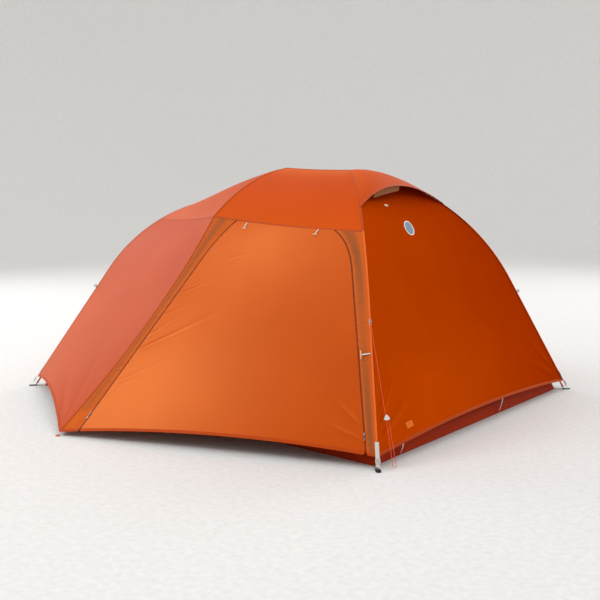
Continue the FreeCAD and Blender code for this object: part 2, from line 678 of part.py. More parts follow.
def wall(low_a, low_b, top_b, top_a, thickness):
    """A flat sheet between a lower and an upper edge."""
    patch = coons(line(top_a, top_b), line(low_a, low_b), line(top_a, low_a), line(top_b, low_b))
    return skin(patch, thickness, gap=TUB_SEAM_GAP, cells=2)


def build_tub():
    """The waterproof floor and the four low walls round it."""
    corners = [HEAD_FLOOR, opposite(HEAD_FLOOR), opposite(FOOT_FLOOR), FOOT_FLOOR]
    outline = Part.makePolygon(corners + corners[:1])
    save("floor_sheet", [Part.Face(outline).extrude(Vector(0.0, 0.0, FLOOR_SHEET))])
    lift = Vector(0.0, 0.0, FLOOR_SHEET)
    tops = [HEAD_TUB, opposite(HEAD_TUB), opposite(FOOT_TUB), FOOT_TUB]
    walls = []
    for i in range(4):
        k = (i + 1) % 4
        walls.append(wall(corners[i] + lift, corners[k] + lift, tops[k], tops[i], INNER_SKIN))
    save("tub_walls", walls)


def build_inner():
    """Mesh walls, roof and doors of the inner tent."""
    head_eave_s = head_leg.at_height(INNER_EAVE_Z, INNER_INSET)
    foot_eave_s = foot_leg.at_height(INNER_EAVE_Z, INNER_INSET)
    top_s = HUB_RADIUS * 2.0
    for name, leg, tub_s in (("inner_head_wall", head_leg, head_tub_s),
                             ("inner_foot_wall", foot_leg, foot_tub_s)):
        front = leg.curve(top_s, tub_s, INNER_INSET)
        rear = lambda t, edge=front: opposite(edge(t))
        patch = coons(line(front(0.0), rear(0.0)), line(front(1.0), rear(1.0)), front, rear)
        save(name, banded(patch, INNER_SKIN, 3))
    eave_ends = [leg.point(s, INNER_INSET) for leg, s in ((foot_leg, foot_eave_s),
                                                          (head_leg, head_eave_s))]
    chord_y = (eave_ends[0].y + eave_ends[1].y) / 2.0
    middle_y = chord_y - (BROW_TIP_Y + chord_y) * INNER_BULGE
    eave = through(eave_ends[0], Vector(BROW_X, middle_y, BROW_TIP_Z - EAVE_DROP), eave_ends[1], 0.5)
    peak = Vector(BROW_X, -2.0, BROW_PEAK_Z - RIDGE_DROP)
    top = through(foot_leg.point(top_s, INNER_INSET), peak,
                  head_leg.point(top_s, INNER_INSET), 0.55)
    roof = coons(top, eave, foot_leg.curve(top_s, foot_eave_s, INNER_INSET),
                 head_leg.curve(top_s, head_eave_s, INNER_INSET))
    save("inner_roof", both_sides([skin(roof, INNER_SKIN, u=(0.0, 0.5)),
                                   skin(roof, INNER_SKIN, u=(0.5, 1.0))]))
    side = coons(eave, line(FOOT_TUB, HEAD_TUB), foot_leg.curve(foot_eave_s, foot_tub_s, INNER_INSET),
                 head_leg.curve(head_eave_s, head_tub_s, INNER_INSET))
    u0, u1 = INNER_DOOR_U
    v0, v1 = INNER_DOOR_V
    strips = [((0.0, u0), (0.0, 1.0)), ((u1, 1.0), (0.0, 1.0)), ((u0, u1), (0.0, v0)),
              ((u0, u1), (v1, 1.0))]
    save("inner_side_walls", both_sides([skin(side, INNER_SKIN, u=u, v=v) for u, v in strips]))
    door = skin(side, INNER_SKIN, u=INNER_DOOR_U, v=INNER_DOOR_V, gap=INNER_DOOR_GAP)
    save_pair("inner_door", door)


# ---- corners and stake-outs ----------------------------------------------------------------
def disc(centre, radius, height):
    """An upright round plate that stands on the ground."""
    return Part.makeCylinder(radius, height, Vector(centre.x, centre.y, 0.0))


def corner_plate(leg, tip):
    """A plate on the ground with an eyelet for the pole tip and a hole for a stake."""
    pin = leg.point(leg.at_height(0.0, POLE_INSET), POLE_INSET)
    diagonal = Vector(math.copysign(1.0, tip.x), math.copysign(1.0, tip.y), 0.0).normalize()
    stake = Vector(tip.x, tip.y, 0.0) + diagonal * (STAKE_HOLE_OFFSET - POLE_INSET)
    half = CORNER_PLATE_WIDTH / 2.0
    middle = (pin + stake) * 0.5 + Vector(0.0, 0.0, CORNER_PLATE_THICKNESS / 2.0)
    span = stake - pin
    size = Vector(CORNER_PLATE_WIDTH, span.Length, CORNER_PLATE_THICKNESS)
    plate = block(middle, span, span.cross(Vector(0.0, 0.0, 1.0)), size)
    plate = plate.fuse([disc(pin, half, CORNER_PLATE_THICKNESS),
                        disc(stake, half, CORNER_PLATE_THICKNESS)])
    plate = plate.cut(disc(pin, FERRULE_RADIUS, CORNER_PLATE_THICKNESS))
    return plate.cut(disc(stake, STAKE_HOLE_RADIUS, CORNER_PLATE_THICKNESS)).removeSplitter()


def build_corners():
    """Corner plates, floor straps, fly straps with buckles, stake loops and guy-out rings."""
    plates, floor_straps, fly_straps, buckles, rings = [], [], [], [], []
    for leg, tip, floor in ((head_leg, HEAD_TIP, HEAD_FLOOR), (foot_leg, FOOT_TIP, FOOT_FLOOR)):
        plates.append(corner_plate(leg, tip))
        pin = leg.point(leg.at_height(0.0, POLE_INSET), POLE_INSET)
        way = Vector(pin.x - floor.x, pin.y - floor.y, 0.0)
        reach, way = way.Length - CORNER_PLATE_WIDTH / 2.0, way.normalize()
        height = Vector(0.0, 0.0, STRAP_THICKNESS)
        across = way.cross(Vector(0.0, 0.0, 1.0))
        ends = [floor + way * 4.0 + height, floor + way * (reach - 1.0) + height]
        floor_straps.append(strap(ends, across, STRAP_WIDTH, STRAP_THICKNESS))
        side = leg.tangent(leg.length).cross(leg.outward(leg.length))
        hem_s, low_s = leg.at_height(HEM_Z), leg.at_height(STRAP_LOW_Z)
        path = [leg.point(s, -STRAP_OFF) for s in (hem_s - STRAP_OVERLAP, hem_s, low_s)]
        fly_straps.append(strap(path, side, STRAP_WIDTH, STRAP_THICKNESS))
        off = STRAP_OFF + (STRAP_THICKNESS + BUCKLE_SIZE.z) / 2.0 + LABEL_LIFT
        centre = leg.point((hem_s + low_s) / 2.0, -off)
        buckles.append(block(centre, leg.tangent(leg.length), side, BUCKLE_SIZE))
        s = leg.at_height(GUYOUT_Z)
        ring_side = side * (GUYOUT_WIDTH / 2.0)
        ring_at = leg.point(s, -GUYOUT_OFF)
        rings.append(cylinder(ring_at - ring_side, ring_at + ring_side, GUYOUT_RADIUS, GUYOUT_BORE))
    save("corner_plates", both_sides(plates))
    save("floor_corner_straps", both_sides(floor_straps))
    save("fly_corner_straps", both_sides(fly_straps))
    save("fly_corner_buckles", both_sides(buckles))
    save("guyout_rings", both_sides(rings))
    away = Vector(STAKE_OUT.x, STAKE_OUT.y, 0.0).normalize()
    centre = Vector(STAKE_OUT.x, STAKE_OUT.y, 0.0) + away * (LOOP_HOLE_RADIUS + LOOP_WALL + 3.0)
    loop = disc(centre, LOOP_HOLE_RADIUS + LOOP_WALL, LOOP_HEIGHT)
    loop = loop.cut(disc(centre, LOOP_HOLE_RADIUS, LOOP_HEIGHT))
    save("vestibule_stake_loops", both_sides([loop]))


# ---- zips, toggles and small pieces --------------------------------------------------------
def on_door_line(curve, t, off):
    """A point off a zip's line, outward from the door's face by off."""
    step = 0.01
    along = curve(min(t + step, 1.0)) - curve(max(t - step, 0.0))
    across = door_patch(0.9, t) - door_patch(0.1, t)
    normal = along.cross(across).normalize()
    if normal.dot(CORE - curve(t)) > 0.0:
        normal = normal * -1.0
    return curve(t) + normal * off, along.normalize(), across.normalize(), normal


def build_zips():
    """Zip coils on both doors of the fly, and the sliders that run on them."""
    coils = []
    rise = (ZIP_HEIGHT - FLY_SKIN) / 2.0
    for curve in (left_zip, right_zip):
        def coil(u, v, line_at=curve):
            middle, along, _, normal = on_door_line(line_at, v, 0.0)
            return middle + normal.cross(along) * ((u - 0.5) * ZIP_WIDTH)

        coils.append(skin(coil, ZIP_HEIGHT, v=(0.02, 0.99), gap=0.0, cells=14, lift=rise))
    save("fly_zips", both_sides(coils))
    lift = (ZIP_HEIGHT - FLY_SKIN) / 2.0 + CLIP_CLEARANCE + SLIDER_SIZE.z / 2.0
    for name, curve in (("left_slider", left_zip), ("right_slider", right_zip)):
        centre, along, across, normal = on_door_line(curve, SLIDER_T, lift)
        body = block(centre, along, across, SLIDER_SIZE)
        pull_at = centre + along * (PULL_SIZE.y / 2.0) + normal * (SLIDER_SIZE.z / 2.0)
        pull = block(pull_at, along, across, PULL_SIZE)
        save_pair(name, body.fuse(pull).removeSplitter())


def toggle(root, along, across, tape_length, bar_length):
    """A tape that hangs from a seam with a small bar across its end, as two solids."""
    end = root + along * tape_length
    centre = (root + end) * 0.5
    size = Vector(TOGGLE_TAPE_WIDTH, tape_length, 1.0)
    bar_at = end + along * (TOGGLE_BAR_RADIUS + 0.2)
    half = across * (bar_length / 2.0)
    return [block(centre, along, across, size), cylinder(bar_at - half, bar_at + half,
                                                         TOGGLE_BAR_RADIUS)]


def build_toggles():
    """Toggles that hold a rolled-up door: two on its top seam and one on the leg seam."""
    off = TOGGLE_BAR_RADIUS + 1.0
    for i, u in enumerate(TOGGLE_PLACES):
        normal = patch_normal(door_patch, u, 0.02) * -1.0
        across = (door_top(u + 0.02) - door_top(u - 0.02)).normalize()
        along = across.cross(normal).normalize()
        if along.z > 0.0:
            along = along * -1.0
        root = door_top(u) + along * (DOOR_GAP + 3.0) + normal * off
        parts = toggle(root, along, across, TOGGLE_TAPE_LENGTH, TOGGLE_BAR_LENGTH)
        save_pair("door_toggle_%d" % (i + 1), parts)
    s = head_leg.at_height(SIDE_TOGGLE_Z)
    v = (s - head_seam_s) / (head_hem_s - head_seam_s)
    normal = patch_normal(vestibule, 0.97, v) * -1.0
    leg_way = head_leg.tangent(s)
    along = leg_way.cross(normal).normalize()
    if along.dot(vestibule(0.9, v) - vestibule(1.0, v)) < 0.0:
        along = along * -1.0
    root = head_leg.point(s) + along * 4.0 + normal * off
    save_pair("side_toggle", toggle(root, along, leg_way, SIDE_TOGGLE_LENGTH, SIDE_TOGGLE_LENGTH))


def build_small_pieces():
    """Vent tab, blank patch, hem tag and hem straps, all on the head end."""
    end = end_patch(head_leg, HUB_RADIUS * 2.5, head_hem_s, HOOD_LIFT + FLY_SKIN)

    def label_on(u, v, size, turn=0.0):
        across = (end(u + 0.01, v) - end(u - 0.01, v)).normalize()
        normal = patch_normal(end, u, v) * -1.0
        along = across.cross(normal).normalize()
        spin = FreeCAD.Rotation(normal, turn)
        centre = end(u, v) + normal * (LABEL_THICKNESS / 2.0 + LABEL_LIFT)
        return block(centre, spin.multVec(along), spin.multVec(across),
                     Vector(size[0], size[1], LABEL_THICKNESS))

    save("end_patch_blank", [label_on(*PATCH_AT, PATCH_SIZE, PATCH_TURN)])
    save("vent_tab", [label_on(*TAB_AT, TAB_SIZE)])
    save("hem_tag", [label_on(*TAG_AT, TAG_SIZE)])
    straps = []
    for y, low_x in HEM_STRAPS:
        u = (y + HEAD_SPREAD / 2.0) / HEAD_SPREAD
        top = end(u, 1.0) + DOWN * 3.0
        low = Vector(BASE_LENGTH / 2.0 - FLOOR_SETBACK_X + low_x, y, 0.0) + HEM_STRAP_LOW
        straps.append(strap([top, low], Vector(0.0, 1.0, 0.0), HEM_STRAP_WIDTH, STRAP_THICKNESS))
    save("end_hem_straps", straps)


# ---- guyline on the head-front leg ---------------------------------------------------------
GUY_RING = head_leg.point(head_leg.at_height(GUYOUT_Z), -GUYOUT_OFF)
GUY_STAKE = HEAD_TIP + Vector(32.0, 70.0, 8.0)  # stays out from the leg it holds
GUY_LOOP = 14.0
GUY_ACROSS = Vector(0.77, 0.64, 0.0)  # level direction across the doubled line
GUY_SPLIT = 0.66  # share of the way down at which the line doubles


def cord(points, radius, folds):
    """A tube of straight runs and tangent arcs; folds gives the share at tight points."""
    edges, radii, last = [], [], points[0]
    for i in range(1, len(points) - 1):
        before, here, after = points[i - 1], points[i], points[i + 1]
        one, two = (before - here), (after - here)
        back = 0.45 * min(one.Length, two.Length)
        if i in folds:
            back = min(back, folds[i])
        half = (math.pi - one.getAngle(two)) / 2.0
        start, end = here + one.normalize() * back, here + two.normalize() * back
        bend = back / math.tan(half)
        radii.append(bend)
        bisector = (one + two).normalize()
        middle = here + bisector * (bend / math.cos(half) - bend)
        edges.append(Part.LineSegment(last, start).toShape())
        edges.append(Part.Arc(start, middle, end).toShape())
        last = end
    edges.append(Part.LineSegment(last, points[-1]).toShape())
    wire = Part.Wire(edges)
    tube = rod(wire, radius)
    section = math.pi * radius ** 2
    print("cord length %.1f, section x length / volume %.4f" %
          (wire.Length, section * wire.Length / tube.Volume))
    print("cord bend radii " + " ".join("%.1f" % value for value in radii))
    return tube


def build_guyline():
    """The line from the guy-out ring to the ground, doubled below its tensioner."""
    way = (GUY_STAKE - GUY_RING).normalize()
    across = (GUY_ACROSS - way * GUY_ACROSS.dot(way)).normalize()
    split = GUY_RING + (GUY_STAKE - GUY_RING) * GUY_SPLIT
    half = across * (GUY_LOOP / 2.0)
    start = GUY_RING + way * 9.5
    route = [start, split - half * 0.2, GUY_STAKE - half, GUY_STAKE + half,
             split + half + way * GUYLINE_END]
    save("guyline", [cord(route, GUYLINE_RADIUS, {1: GUYLINE_FOLD})])
    normal = across.cross(way).normalize()
    centre = split + way * TENSIONER_OFF
    apex = centre - way * TENSIONER_APEX
    foot, half = apex + way * TENSIONER_SIZE.y, across * (TENSIONER_SIZE.x / 2.0)
    back = normal * (TENSIONER_SIZE.z / 2.0)
    base = [point - back for point in (apex, foot - half, foot + half, apex)]
    save("line_tensioner", [Part.Face(Part.makePolygon(base)).extrude(back * 2.0)])
    save("guyline_knot", [Part.makeSphere(KNOT_RADIUS, start)])


def main():
    """Builds every node of the tent."""
    os.makedirs("parts", exist_ok=True)
    build_roof()
    build_ends()
    build_vestibules()
    build_poles()
    build_hubs()
    build_clips()
    build_tub()
    build_inner()
    build_corners()
    build_zips()
    build_toggles()
    build_small_pieces()
    build_guyline()


main()
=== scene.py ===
"""Looks of a pitched backpacking tent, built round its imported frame.

The rainfly is sewn from curved panels that hang between the lines of four bent legs, a ridge
and a cross pole. Each panel is a surface of two parameters, worked out with numpy from its four
edge curves, with the folds and puckers of stretched cloth added along its normals. Seams, zips,
webbing and cords are profiles carried along the same curves. All sizes are in metres, X runs
from the foot end to the head end, -Y is the front door's side and Z is up.
"""

import logging
import math
from dataclasses import dataclass, field
from enum import Enum
from typing import Callable, Optional, Sequence

import bpy
import numpy as np
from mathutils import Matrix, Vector


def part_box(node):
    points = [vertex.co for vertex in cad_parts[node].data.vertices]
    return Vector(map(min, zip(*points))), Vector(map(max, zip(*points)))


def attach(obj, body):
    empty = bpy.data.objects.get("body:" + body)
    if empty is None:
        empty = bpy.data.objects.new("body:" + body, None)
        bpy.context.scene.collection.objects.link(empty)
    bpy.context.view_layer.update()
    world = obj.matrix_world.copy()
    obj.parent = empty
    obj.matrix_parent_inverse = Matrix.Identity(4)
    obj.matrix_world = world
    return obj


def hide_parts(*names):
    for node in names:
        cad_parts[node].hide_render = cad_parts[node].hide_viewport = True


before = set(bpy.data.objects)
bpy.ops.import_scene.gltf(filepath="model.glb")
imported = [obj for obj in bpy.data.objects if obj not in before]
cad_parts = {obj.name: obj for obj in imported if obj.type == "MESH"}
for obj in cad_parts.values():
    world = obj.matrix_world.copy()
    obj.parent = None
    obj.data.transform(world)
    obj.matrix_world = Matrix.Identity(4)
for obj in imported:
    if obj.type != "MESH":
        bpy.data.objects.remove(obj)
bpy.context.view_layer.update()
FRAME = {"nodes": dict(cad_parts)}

LOG = logging.getLogger("tent")
Array = np.ndarray
Curve = Callable[[Array], Array]
Patch = Callable[[Array, Array], Array]
Colour = tuple[float, float, float, float]

CORE = np.array([0.0, 0.0, 0.30])
UP = np.array([0.0, 0.0, 1.0])
MIRROR = np.array([1.0, -1.0, 1.0])
PLAIN_TONE = 0.5  # a cloth's tone midway between its deep and its light colour
FLOOR_TONE = 0.3
SEAM_START = 0.01  # a leg's seam starts this far from its hub
RIPPLE_PITCH = 0.031  # one stitch pucker of a seam, along the seam
RIPPLE_REACH = 0.014  # how far in from a seam its puckers die out


class Side(Enum):
    """Which side of the tent's long middle plane a piece is on."""

    FRONT = "front"
    REAR = "rear"

    def place(self, points: Array) -> Array:
        """Front-side points as they lie on this side."""
        return points if self is Side.FRONT else points * MIRROR

    def name(self, piece: str) -> str:
        """A piece's name on this side."""
        return f"{self.value}_{piece}"


class Body(Enum):
    """The tent's two large bodies; the others are named for their own pieces."""

    FRAME = "tent_frame"
    FLY = "rainfly"


class Slot(Enum):
    """Material slot names; each piece holds one."""

    ROOF = "roof_cloth"
    SIDE = "side_cloth"
    DOOR = "door_cloth"
    END = "end_cloth"
    FLOOR = "floor_cloth"
    MESH = "mesh_cloth"
    PATCH = "patch_cloth"
    TAG = "tag_cloth"
    WEBBING = "webbing"
    CORD = "cord_orange"
    ZIP_TAPE = "zip_tape"
    CLIP = "clip_plastic"
    ZIP_METAL = "zip_metal"


def box_middle(node: str) -> Array:
    """The middle of a CAD node's box."""
    low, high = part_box(node)
    return (np.array(low) + np.array(high)) / 2.0


def unit(vectors: Array) -> Array:
    """The vectors, each divided by its own length."""
    return vectors / np.maximum(np.linalg.norm(vectors, axis=-1, keepdims=True), 1e-12)


def colour(code: str) -> Colour:
    """A six-digit screen colour as linear red, green, blue and 1."""
    parts = np.array([int(code[i:i + 2], 16) for i in (0, 2, 4)]) / 255.0
    linear = np.where(parts <= 0.04045, parts / 12.92, ((parts + 0.055) / 1.055) ** 2.4)
    return (*(float(x) for x in linear), 1.0)


# ---- curves and patches ---------------------------------------------------------------------
@dataclass
class Leg:
    """An arc that leaves a hub, then a straight run to the tip, in one upright plane.

    The slope below level grows evenly from top_angle to foot_angle along the arc, and stays
    there on the straight run. Radius and run are solved so that the line ends at the tip.
    """

    hub: Array
    tip: Array
    top_angle: float
    foot_angle: float
    top: float = field(init=False)
    foot: float = field(init=False)
    radius: float = field(init=False)
    straight: float = field(init=False)
    heading: Array = field(init=False)

    def __post_init__(self) -> None:
        """Solves the arc's radius and the straight run."""
        self.top, self.foot = math.radians(self.top_angle), math.radians(self.foot_angle)
        level = (self.tip - self.hub) * np.array([1.0, 1.0, 0.0])
        reach, drop = float(np.linalg.norm(level)), float(self.hub[2] - self.tip[2])
        self.heading = level / reach
        across = math.sin(self.foot) - math.sin(self.top)
        down = math.cos(self.top) - math.cos(self.foot)
        scale = across * math.sin(self.foot) - down * math.cos(self.foot)
        self.radius = (reach * math.sin(self.foot) - drop * math.cos(self.foot)) / scale
        self.straight = (across * drop - down * reach) / scale

    @property
    def arc(self) -> float:
        """Length of the arc."""
        return self.radius * (self.foot - self.top)

    @property
    def length(self) -> float:
        """Length from hub to tip."""
        return self.arc + self.straight

    def slope(self, s: Array) -> Array:
        """Angle below level at the distance s from the hub."""
        return np.minimum(self.top + np.maximum(s, 0.0) / self.radius, self.foot)

    def point(self, s: Array, inset: float = 0.0) -> Array:
        """Points at distances s from the hub.

        Args:
            s: distances along the line.
            inset: how far the points lie inside the fly's outer face.

        Returns:
            The points, with x, y and z on the last axis.
        """
        s = np.asarray(s, float)
        angle = self.slope(s)
        run = np.maximum(s - self.arc, 0.0) + np.minimum(s, 0.0)
        out = self.radius * (np.sin(angle) - math.sin(self.top))
        out = out + run * np.cos(angle) - inset * np.sin(angle)
        down = self.radius * (math.cos(self.top) - np.cos(angle))
        down = down + run * np.sin(angle) + inset * np.cos(angle)
        return self.hub + out[..., None] * self.heading - down[..., None] * UP

    def tangent(self, s: Array) -> Array:
        """Unit directions down the leg."""
        angle = self.slope(np.asarray(s, float))[..., None]
        return np.cos(angle) * self.heading - np.sin(angle) * UP

    def outward(self, s: Array) -> Array:
        """Unit directions off the leg, away from the tent."""
        angle = self.slope(np.asarray(s, float))[..., None]
        return np.sin(angle) * self.heading + np.cos(angle) * UP

    def at_height(self, z: float, inset: float = 0.0) -> float:
        """Distance along the line at which the inset line passes height z, by halving."""
        low, high = 0.0, self.length * 1.2
        for _ in range(50):
            middle = (low + high) / 2.0
            above = self.point(middle, inset)[2] > z
            low, high = (middle, high) if above else (low, middle)
        return low

    def curve(self, s0: float, s1: float, inset: float = 0.0) -> Curve:
        """The stretch from s0 to s1 as a curve of 0..1."""
        return lambda t: self.point(s0 + (s1 - s0) * np.asarray(t, float), inset)


def bowed(start: Array, end: Array, bow: Sequence[float] = (0.0, 0.0, 0.0)) -> Curve:
    """A straight line plus a parabola of 4t(1-t) times the vector bow."""
    bow = np.asarray(bow, float)

    def at(t: Array) -> Array:
        """Points at the shares t."""
        t = np.asarray(t, float)[..., None]
        return start * (1.0 - t) + end * t + bow * (4.0 * t * (1.0 - t))

    return at


def opposite(curve: Curve) -> Curve:
    """The same curve on the rear side."""
    return lambda t: curve(t) * MIRROR


def part_of(curve: Curve, t0: float, t1: float) -> Curve:
    """The stretch of a curve from t0 to t1."""
    return lambda t: curve(t0 + (t1 - t0) * np.asarray(t, float))


def through(start: Array, middle: Array, end: Array, share: float) -> Curve:
    """A quadratic curve that passes middle at the parameter share."""
    lift = (middle - start * (1.0 - share) - end * share) / (share * (1.0 - share))
    return bowed(start, end, lift / 4.0)


def zip_line(start: Array, bend: Array, foot: Array) -> Curve:
    """A zip's path: a quadratic arc from the eave to the bend, then a straight run."""
    straight = float(np.linalg.norm(foot - bend))
    lead = bend - (foot - bend) * (float(np.linalg.norm(start - bend)) * 0.55 / straight)
    curved = float(np.linalg.norm(start - lead) + np.linalg.norm(lead - bend))
    share = curved / (curved + straight)

    def at(t: Array) -> Array:
        """Points at the shares t."""
        t = np.asarray(t, float)[..., None]
        k = np.minimum(t / share, 1.0)
        arc = start * (1 - k) ** 2 + lead * (2 * k * (1 - k)) + bend * k ** 2
        return np.where(t < share, arc, bend + (foot - bend) * ((t - share) / (1.0 - share)))

    return at


def coons(top: Curve, bottom: Curve, left: Curve, right: Curve, sag: float = 0.0) -> Patch:
    """The surface through four edge curves.

    It is the sum of the two ruled surfaces between opposite edges, less the bilinear surface
    through the four corners. Sag moves its middle towards the tent's core.
    """
    zero, one = np.array(0.0), np.array(1.0)
    corners = [top(zero), top(one), bottom(zero), bottom(one)]
    across = (corners[1] + corners[3]) - (corners[0] + corners[2])
    down = (corners[2] + corners[3]) - (corners[0] + corners[1])
    inward = unit(np.cross(across, down))
    inward = inward * np.sign(inward @ (CORE - sum(corners) / 4.0))

    def at(u: Array, v: Array) -> Array:
        """Points at the shares u across and v down."""
        u, v = np.broadcast_arrays(np.asarray(u, float), np.asarray(v, float))
        a, b = u[..., None], v[..., None]
        p = top(u) * (1 - b) + bottom(u) * b + left(v) * (1 - a) + right(v) * a
        p = p - corners[0] * (1 - a) * (1 - b) - corners[1] * a * (1 - b)
        p = p - corners[2] * (1 - a) * b - corners[3] * a * b
        return p + inward * (sag * 16.0 * a * (1 - a) * b * (1 - b))

    return at


# ---- closed shells --------------------------------------------------------------------------
@dataclass
class Shell:
    """Points and faces of a closed surface, with a cloth position and a tone at each point."""

    points: Array
    faces: list[Array]
    uv: Array
    tone: Array

    def outward(self) -> "Shell":
        """The same shell with every face turned so that it encloses a positive volume."""
        total = 0.0
        for block in self.faces:
            a = self.points[block[:, 0]]
            for i in range(1, block.shape[1] - 1):
                b, c = self.points[block[:, i]], self.points[block[:, i + 1]]
                total += float((a * np.cross(b, c)).sum())
        if total >= 0.0:
            return self
        turned = [block[:, ::-1] for block in self.faces]
        return Shell(self.points, turned, self.uv, self.tone)

    def on(self, side: Side) -> "Shell":
        """The shell as it lies on a side of the tent, facing outwards."""
        return Shell(side.place(self.points), self.faces, self.uv, self.tone).outward()


def joined(shells: Sequence[Shell]) -> Shell:
    """Several shells as one, with their faces grouped as they were."""
    start, faces = 0, []
    for shell in shells:
        faces += [block + start for block in shell.faces]
        start += len(shell.points)
    return Shell(np.concatenate([s.points for s in shells]), faces,
                 np.concatenate([s.uv for s in shells]),
                 np.concatenate([s.tone for s in shells]))


def sheet_shell(outer: Array, inner: Array, uv: Array, tone: Array) -> Shell:
    """A sheet between two grids of points: both faces as quads, and four rims.

    Args:
        outer: grid of points on the outer face, rows by columns by 3.
        inner: the same grid on the inner face.
        uv: cloth position of each grid point, in metres.
        tone: tone of each grid point, from 0 to 1.

    Returns:
        The closed shell, facing outwards.
    """
    rows, columns = outer.shape[:2]
    count = rows * columns
    k = np.arange(count).reshape(rows, columns)
    quads = np.stack([k[:-1, :-1], k[1:, :-1], k[1:, 1:], k[:-1, 1:]], -1).reshape(-1, 4)
    rim = []
    for edge in (k[:, 0], k[-1, :], k[::-1, -1], k[0, ::-1]):
        a, b = edge[:-1], edge[1:]
        rim.append(np.stack([b, a, a + count, b + count], -1))
    points = np.concatenate([outer.reshape(-1, 3), inner.reshape(-1, 3)])
    return Shell(points, [quads, quads[:, ::-1] + count, np.concatenate(rim)],
                 np.tile(uv.reshape(-1, 2), (2, 1)), np.tile(tone.ravel(), 2)).outward()


def swept_shell(path: Array, side: Array, off: Array, half_width: Array, half_height: Array,
                power: float = 2.0, sides: int = 12) -> Shell:
    """A rounded section carried along a path.

    The section is a superellipse: its across position is half_width times the signed cosine
    to the 2/power, and its off position is half_height times the signed sine to the same. A
    power of 2 is an ellipse and 5 is a flat band with rounded edges.

    Args:
        path: points along the middle line.
        side: unit vectors across the band, one for the path or one a point.
        off: unit vectors off the band's face, one for the path or one a point.
        half_width: half the width, one value or one a point.
        half_height: half the thickness, one value or one a point.
        power: roundness of the section.
        sides: number of points round it.

    Returns:
        The closed shell.
    """
    count = len(path)
    turn = np.arange(sides) * (2.0 * math.pi / sides)
    c, s = np.cos(turn), np.sin(turn)
    across = np.sign(c) * np.abs(c) ** (2.0 / power)
    rise = np.sign(s) * np.abs(s) ** (2.0 / power)
    side = np.broadcast_to(side, path.shape)
    off = np.broadcast_to(off, path.shape)
    wide = np.broadcast_to(half_width, (count,))[:, None, None]
    high = np.broadcast_to(half_height, (count,))[:, None, None]
    grid = path[:, None] + side[:, None] * (wide * across[None, :, None])
    grid = grid + off[:, None] * (high * rise[None, :, None])
    k = np.arange(count * sides).reshape(count, sides)
    nxt = np.roll(k, -1, axis=1)
    quads = np.stack([k[:-1], k[1:], nxt[1:], nxt[:-1]], -1).reshape(-1, 4)
    caps = [k[:1], k[-1:, ::-1]]
    along = np.concatenate([[0.0], np.cumsum(np.linalg.norm(np.diff(path, axis=0), axis=1))])
    uv = np.stack(np.broadcast_arrays(along[:, None], wide[:, :, 0] * across[None]), -1)
    return Shell(grid.reshape(-1, 3), [quads, *caps], uv.reshape(-1, 2),
                 np.full(count * sides, PLAIN_TONE)).outward()


def band(path: Array, off: Array, width: float, height: float) -> Shell:
    """A flat band of webbing or tape along a path, its face turned to off."""
    along = unit(np.gradient(path, axis=0))
    off = np.broadcast_to(off, path.shape)
    side = unit(np.cross(along, off))
    off = unit(np.cross(side, along))
    return swept_shell(path, side, off, width / 2.0, height / 2.0, 4.0)


def round_bar(path: Array, radius: Array, sides: int = 12) -> Shell:
    """A round bar along a path, with the section turned by the direction least along it."""
    along = unit(np.gradient(path, axis=0))
    reach = np.abs(path[-1] - path[0]) + 1e-9
    guide = np.eye(3)[int(np.argmin(reach))]
    side = unit(np.cross(along, guide))
    return swept_shell(path, side, unit(np.cross(side, along)), radius, radius, 2.0, sides)


@dataclass(frozen=True)
class Spot:
    """A place on the tent: its centre and three unit directions."""

    centre: Array
    across: Array
    along: Array
    normal: Array

    def to_world(self, a: Array, b: Array, c: Array) -> Array:
        """Points a across, b along and c off the spot."""
        return (self.centre + np.asarray(a)[..., None] * self.across
                + np.asarray(b)[..., None] * self.along
                + np.asarray(c)[..., None] * self.normal)

    def turned(self, degrees: float) -> "Spot":
        """The spot turned about its normal."""
        c, s = math.cos(math.radians(degrees)), math.sin(math.radians(degrees))
        return Spot(self.centre, self.across * c + self.along * s,
                    self.along * c - self.across * s, self.normal)


def plate_shell(spot: Spot, outline: Array, thickness: float, soft: float = 0.2) -> Shell:
    """A plate with a rounded edge: rings of one outline, drawn in at both faces.

    Args:
        spot: where the plate's middle lies.
        outline: points round the plate, across and along, in metres.
        thickness: its whole thickness.
        soft: share of the thickness that each rounded edge takes.

    Returns:
        The closed shell.
    """
    half, edge = thickness / 2.0, thickness * soft
    angle = np.linspace(0.0, math.pi / 2.0, 4)
    size = float(np.abs(outline).max())
    draw = 1.0 - edge * (1.0 - np.sin(angle)) / size
    rise = half - edge * (1.0 - np.cos(angle))
    scale = np.concatenate([[0.02, 0.6], draw, draw[::-1], [0.6, 0.02]])
    level = np.concatenate([[half, half], rise, -rise[::-1], [-half, -half]])
    count = len(outline)
    ring = outline[None] * scale[:, None, None]
    points = spot.to_world(ring[..., 0], ring[..., 1],
                           np.broadcast_to(level[:, None], ring.shape[:2]))
    k = np.arange(points.shape[0] * count).reshape(-1, count)
    nxt = np.roll(k, -1, axis=1)
    quads = np.stack([k[:-1], nxt[:-1], nxt[1:], k[1:]], -1).reshape(-1, 4)
    return Shell(points.reshape(-1, 3), [quads, k[:1, ::-1], k[-1:]], ring.reshape(-1, 2),
                 np.full(k.size, PLAIN_TONE)).outward()


def rounded_outline(width: float, length: float, power: float = 6.0, count: int = 40) -> Array:
    """Points round a superellipse: power 2 is an oval and 6 a rounded rectangle."""
    turn = np.arange(count) * (2.0 * math.pi / count)
    c, s = np.cos(turn), np.sin(turn)
    return np.stack([width / 2.0 * np.sign(c) * np.abs(c) ** (2.0 / power),
                     length / 2.0 * np.sign(s) * np.abs(s) ** (2.0 / power)], -1)


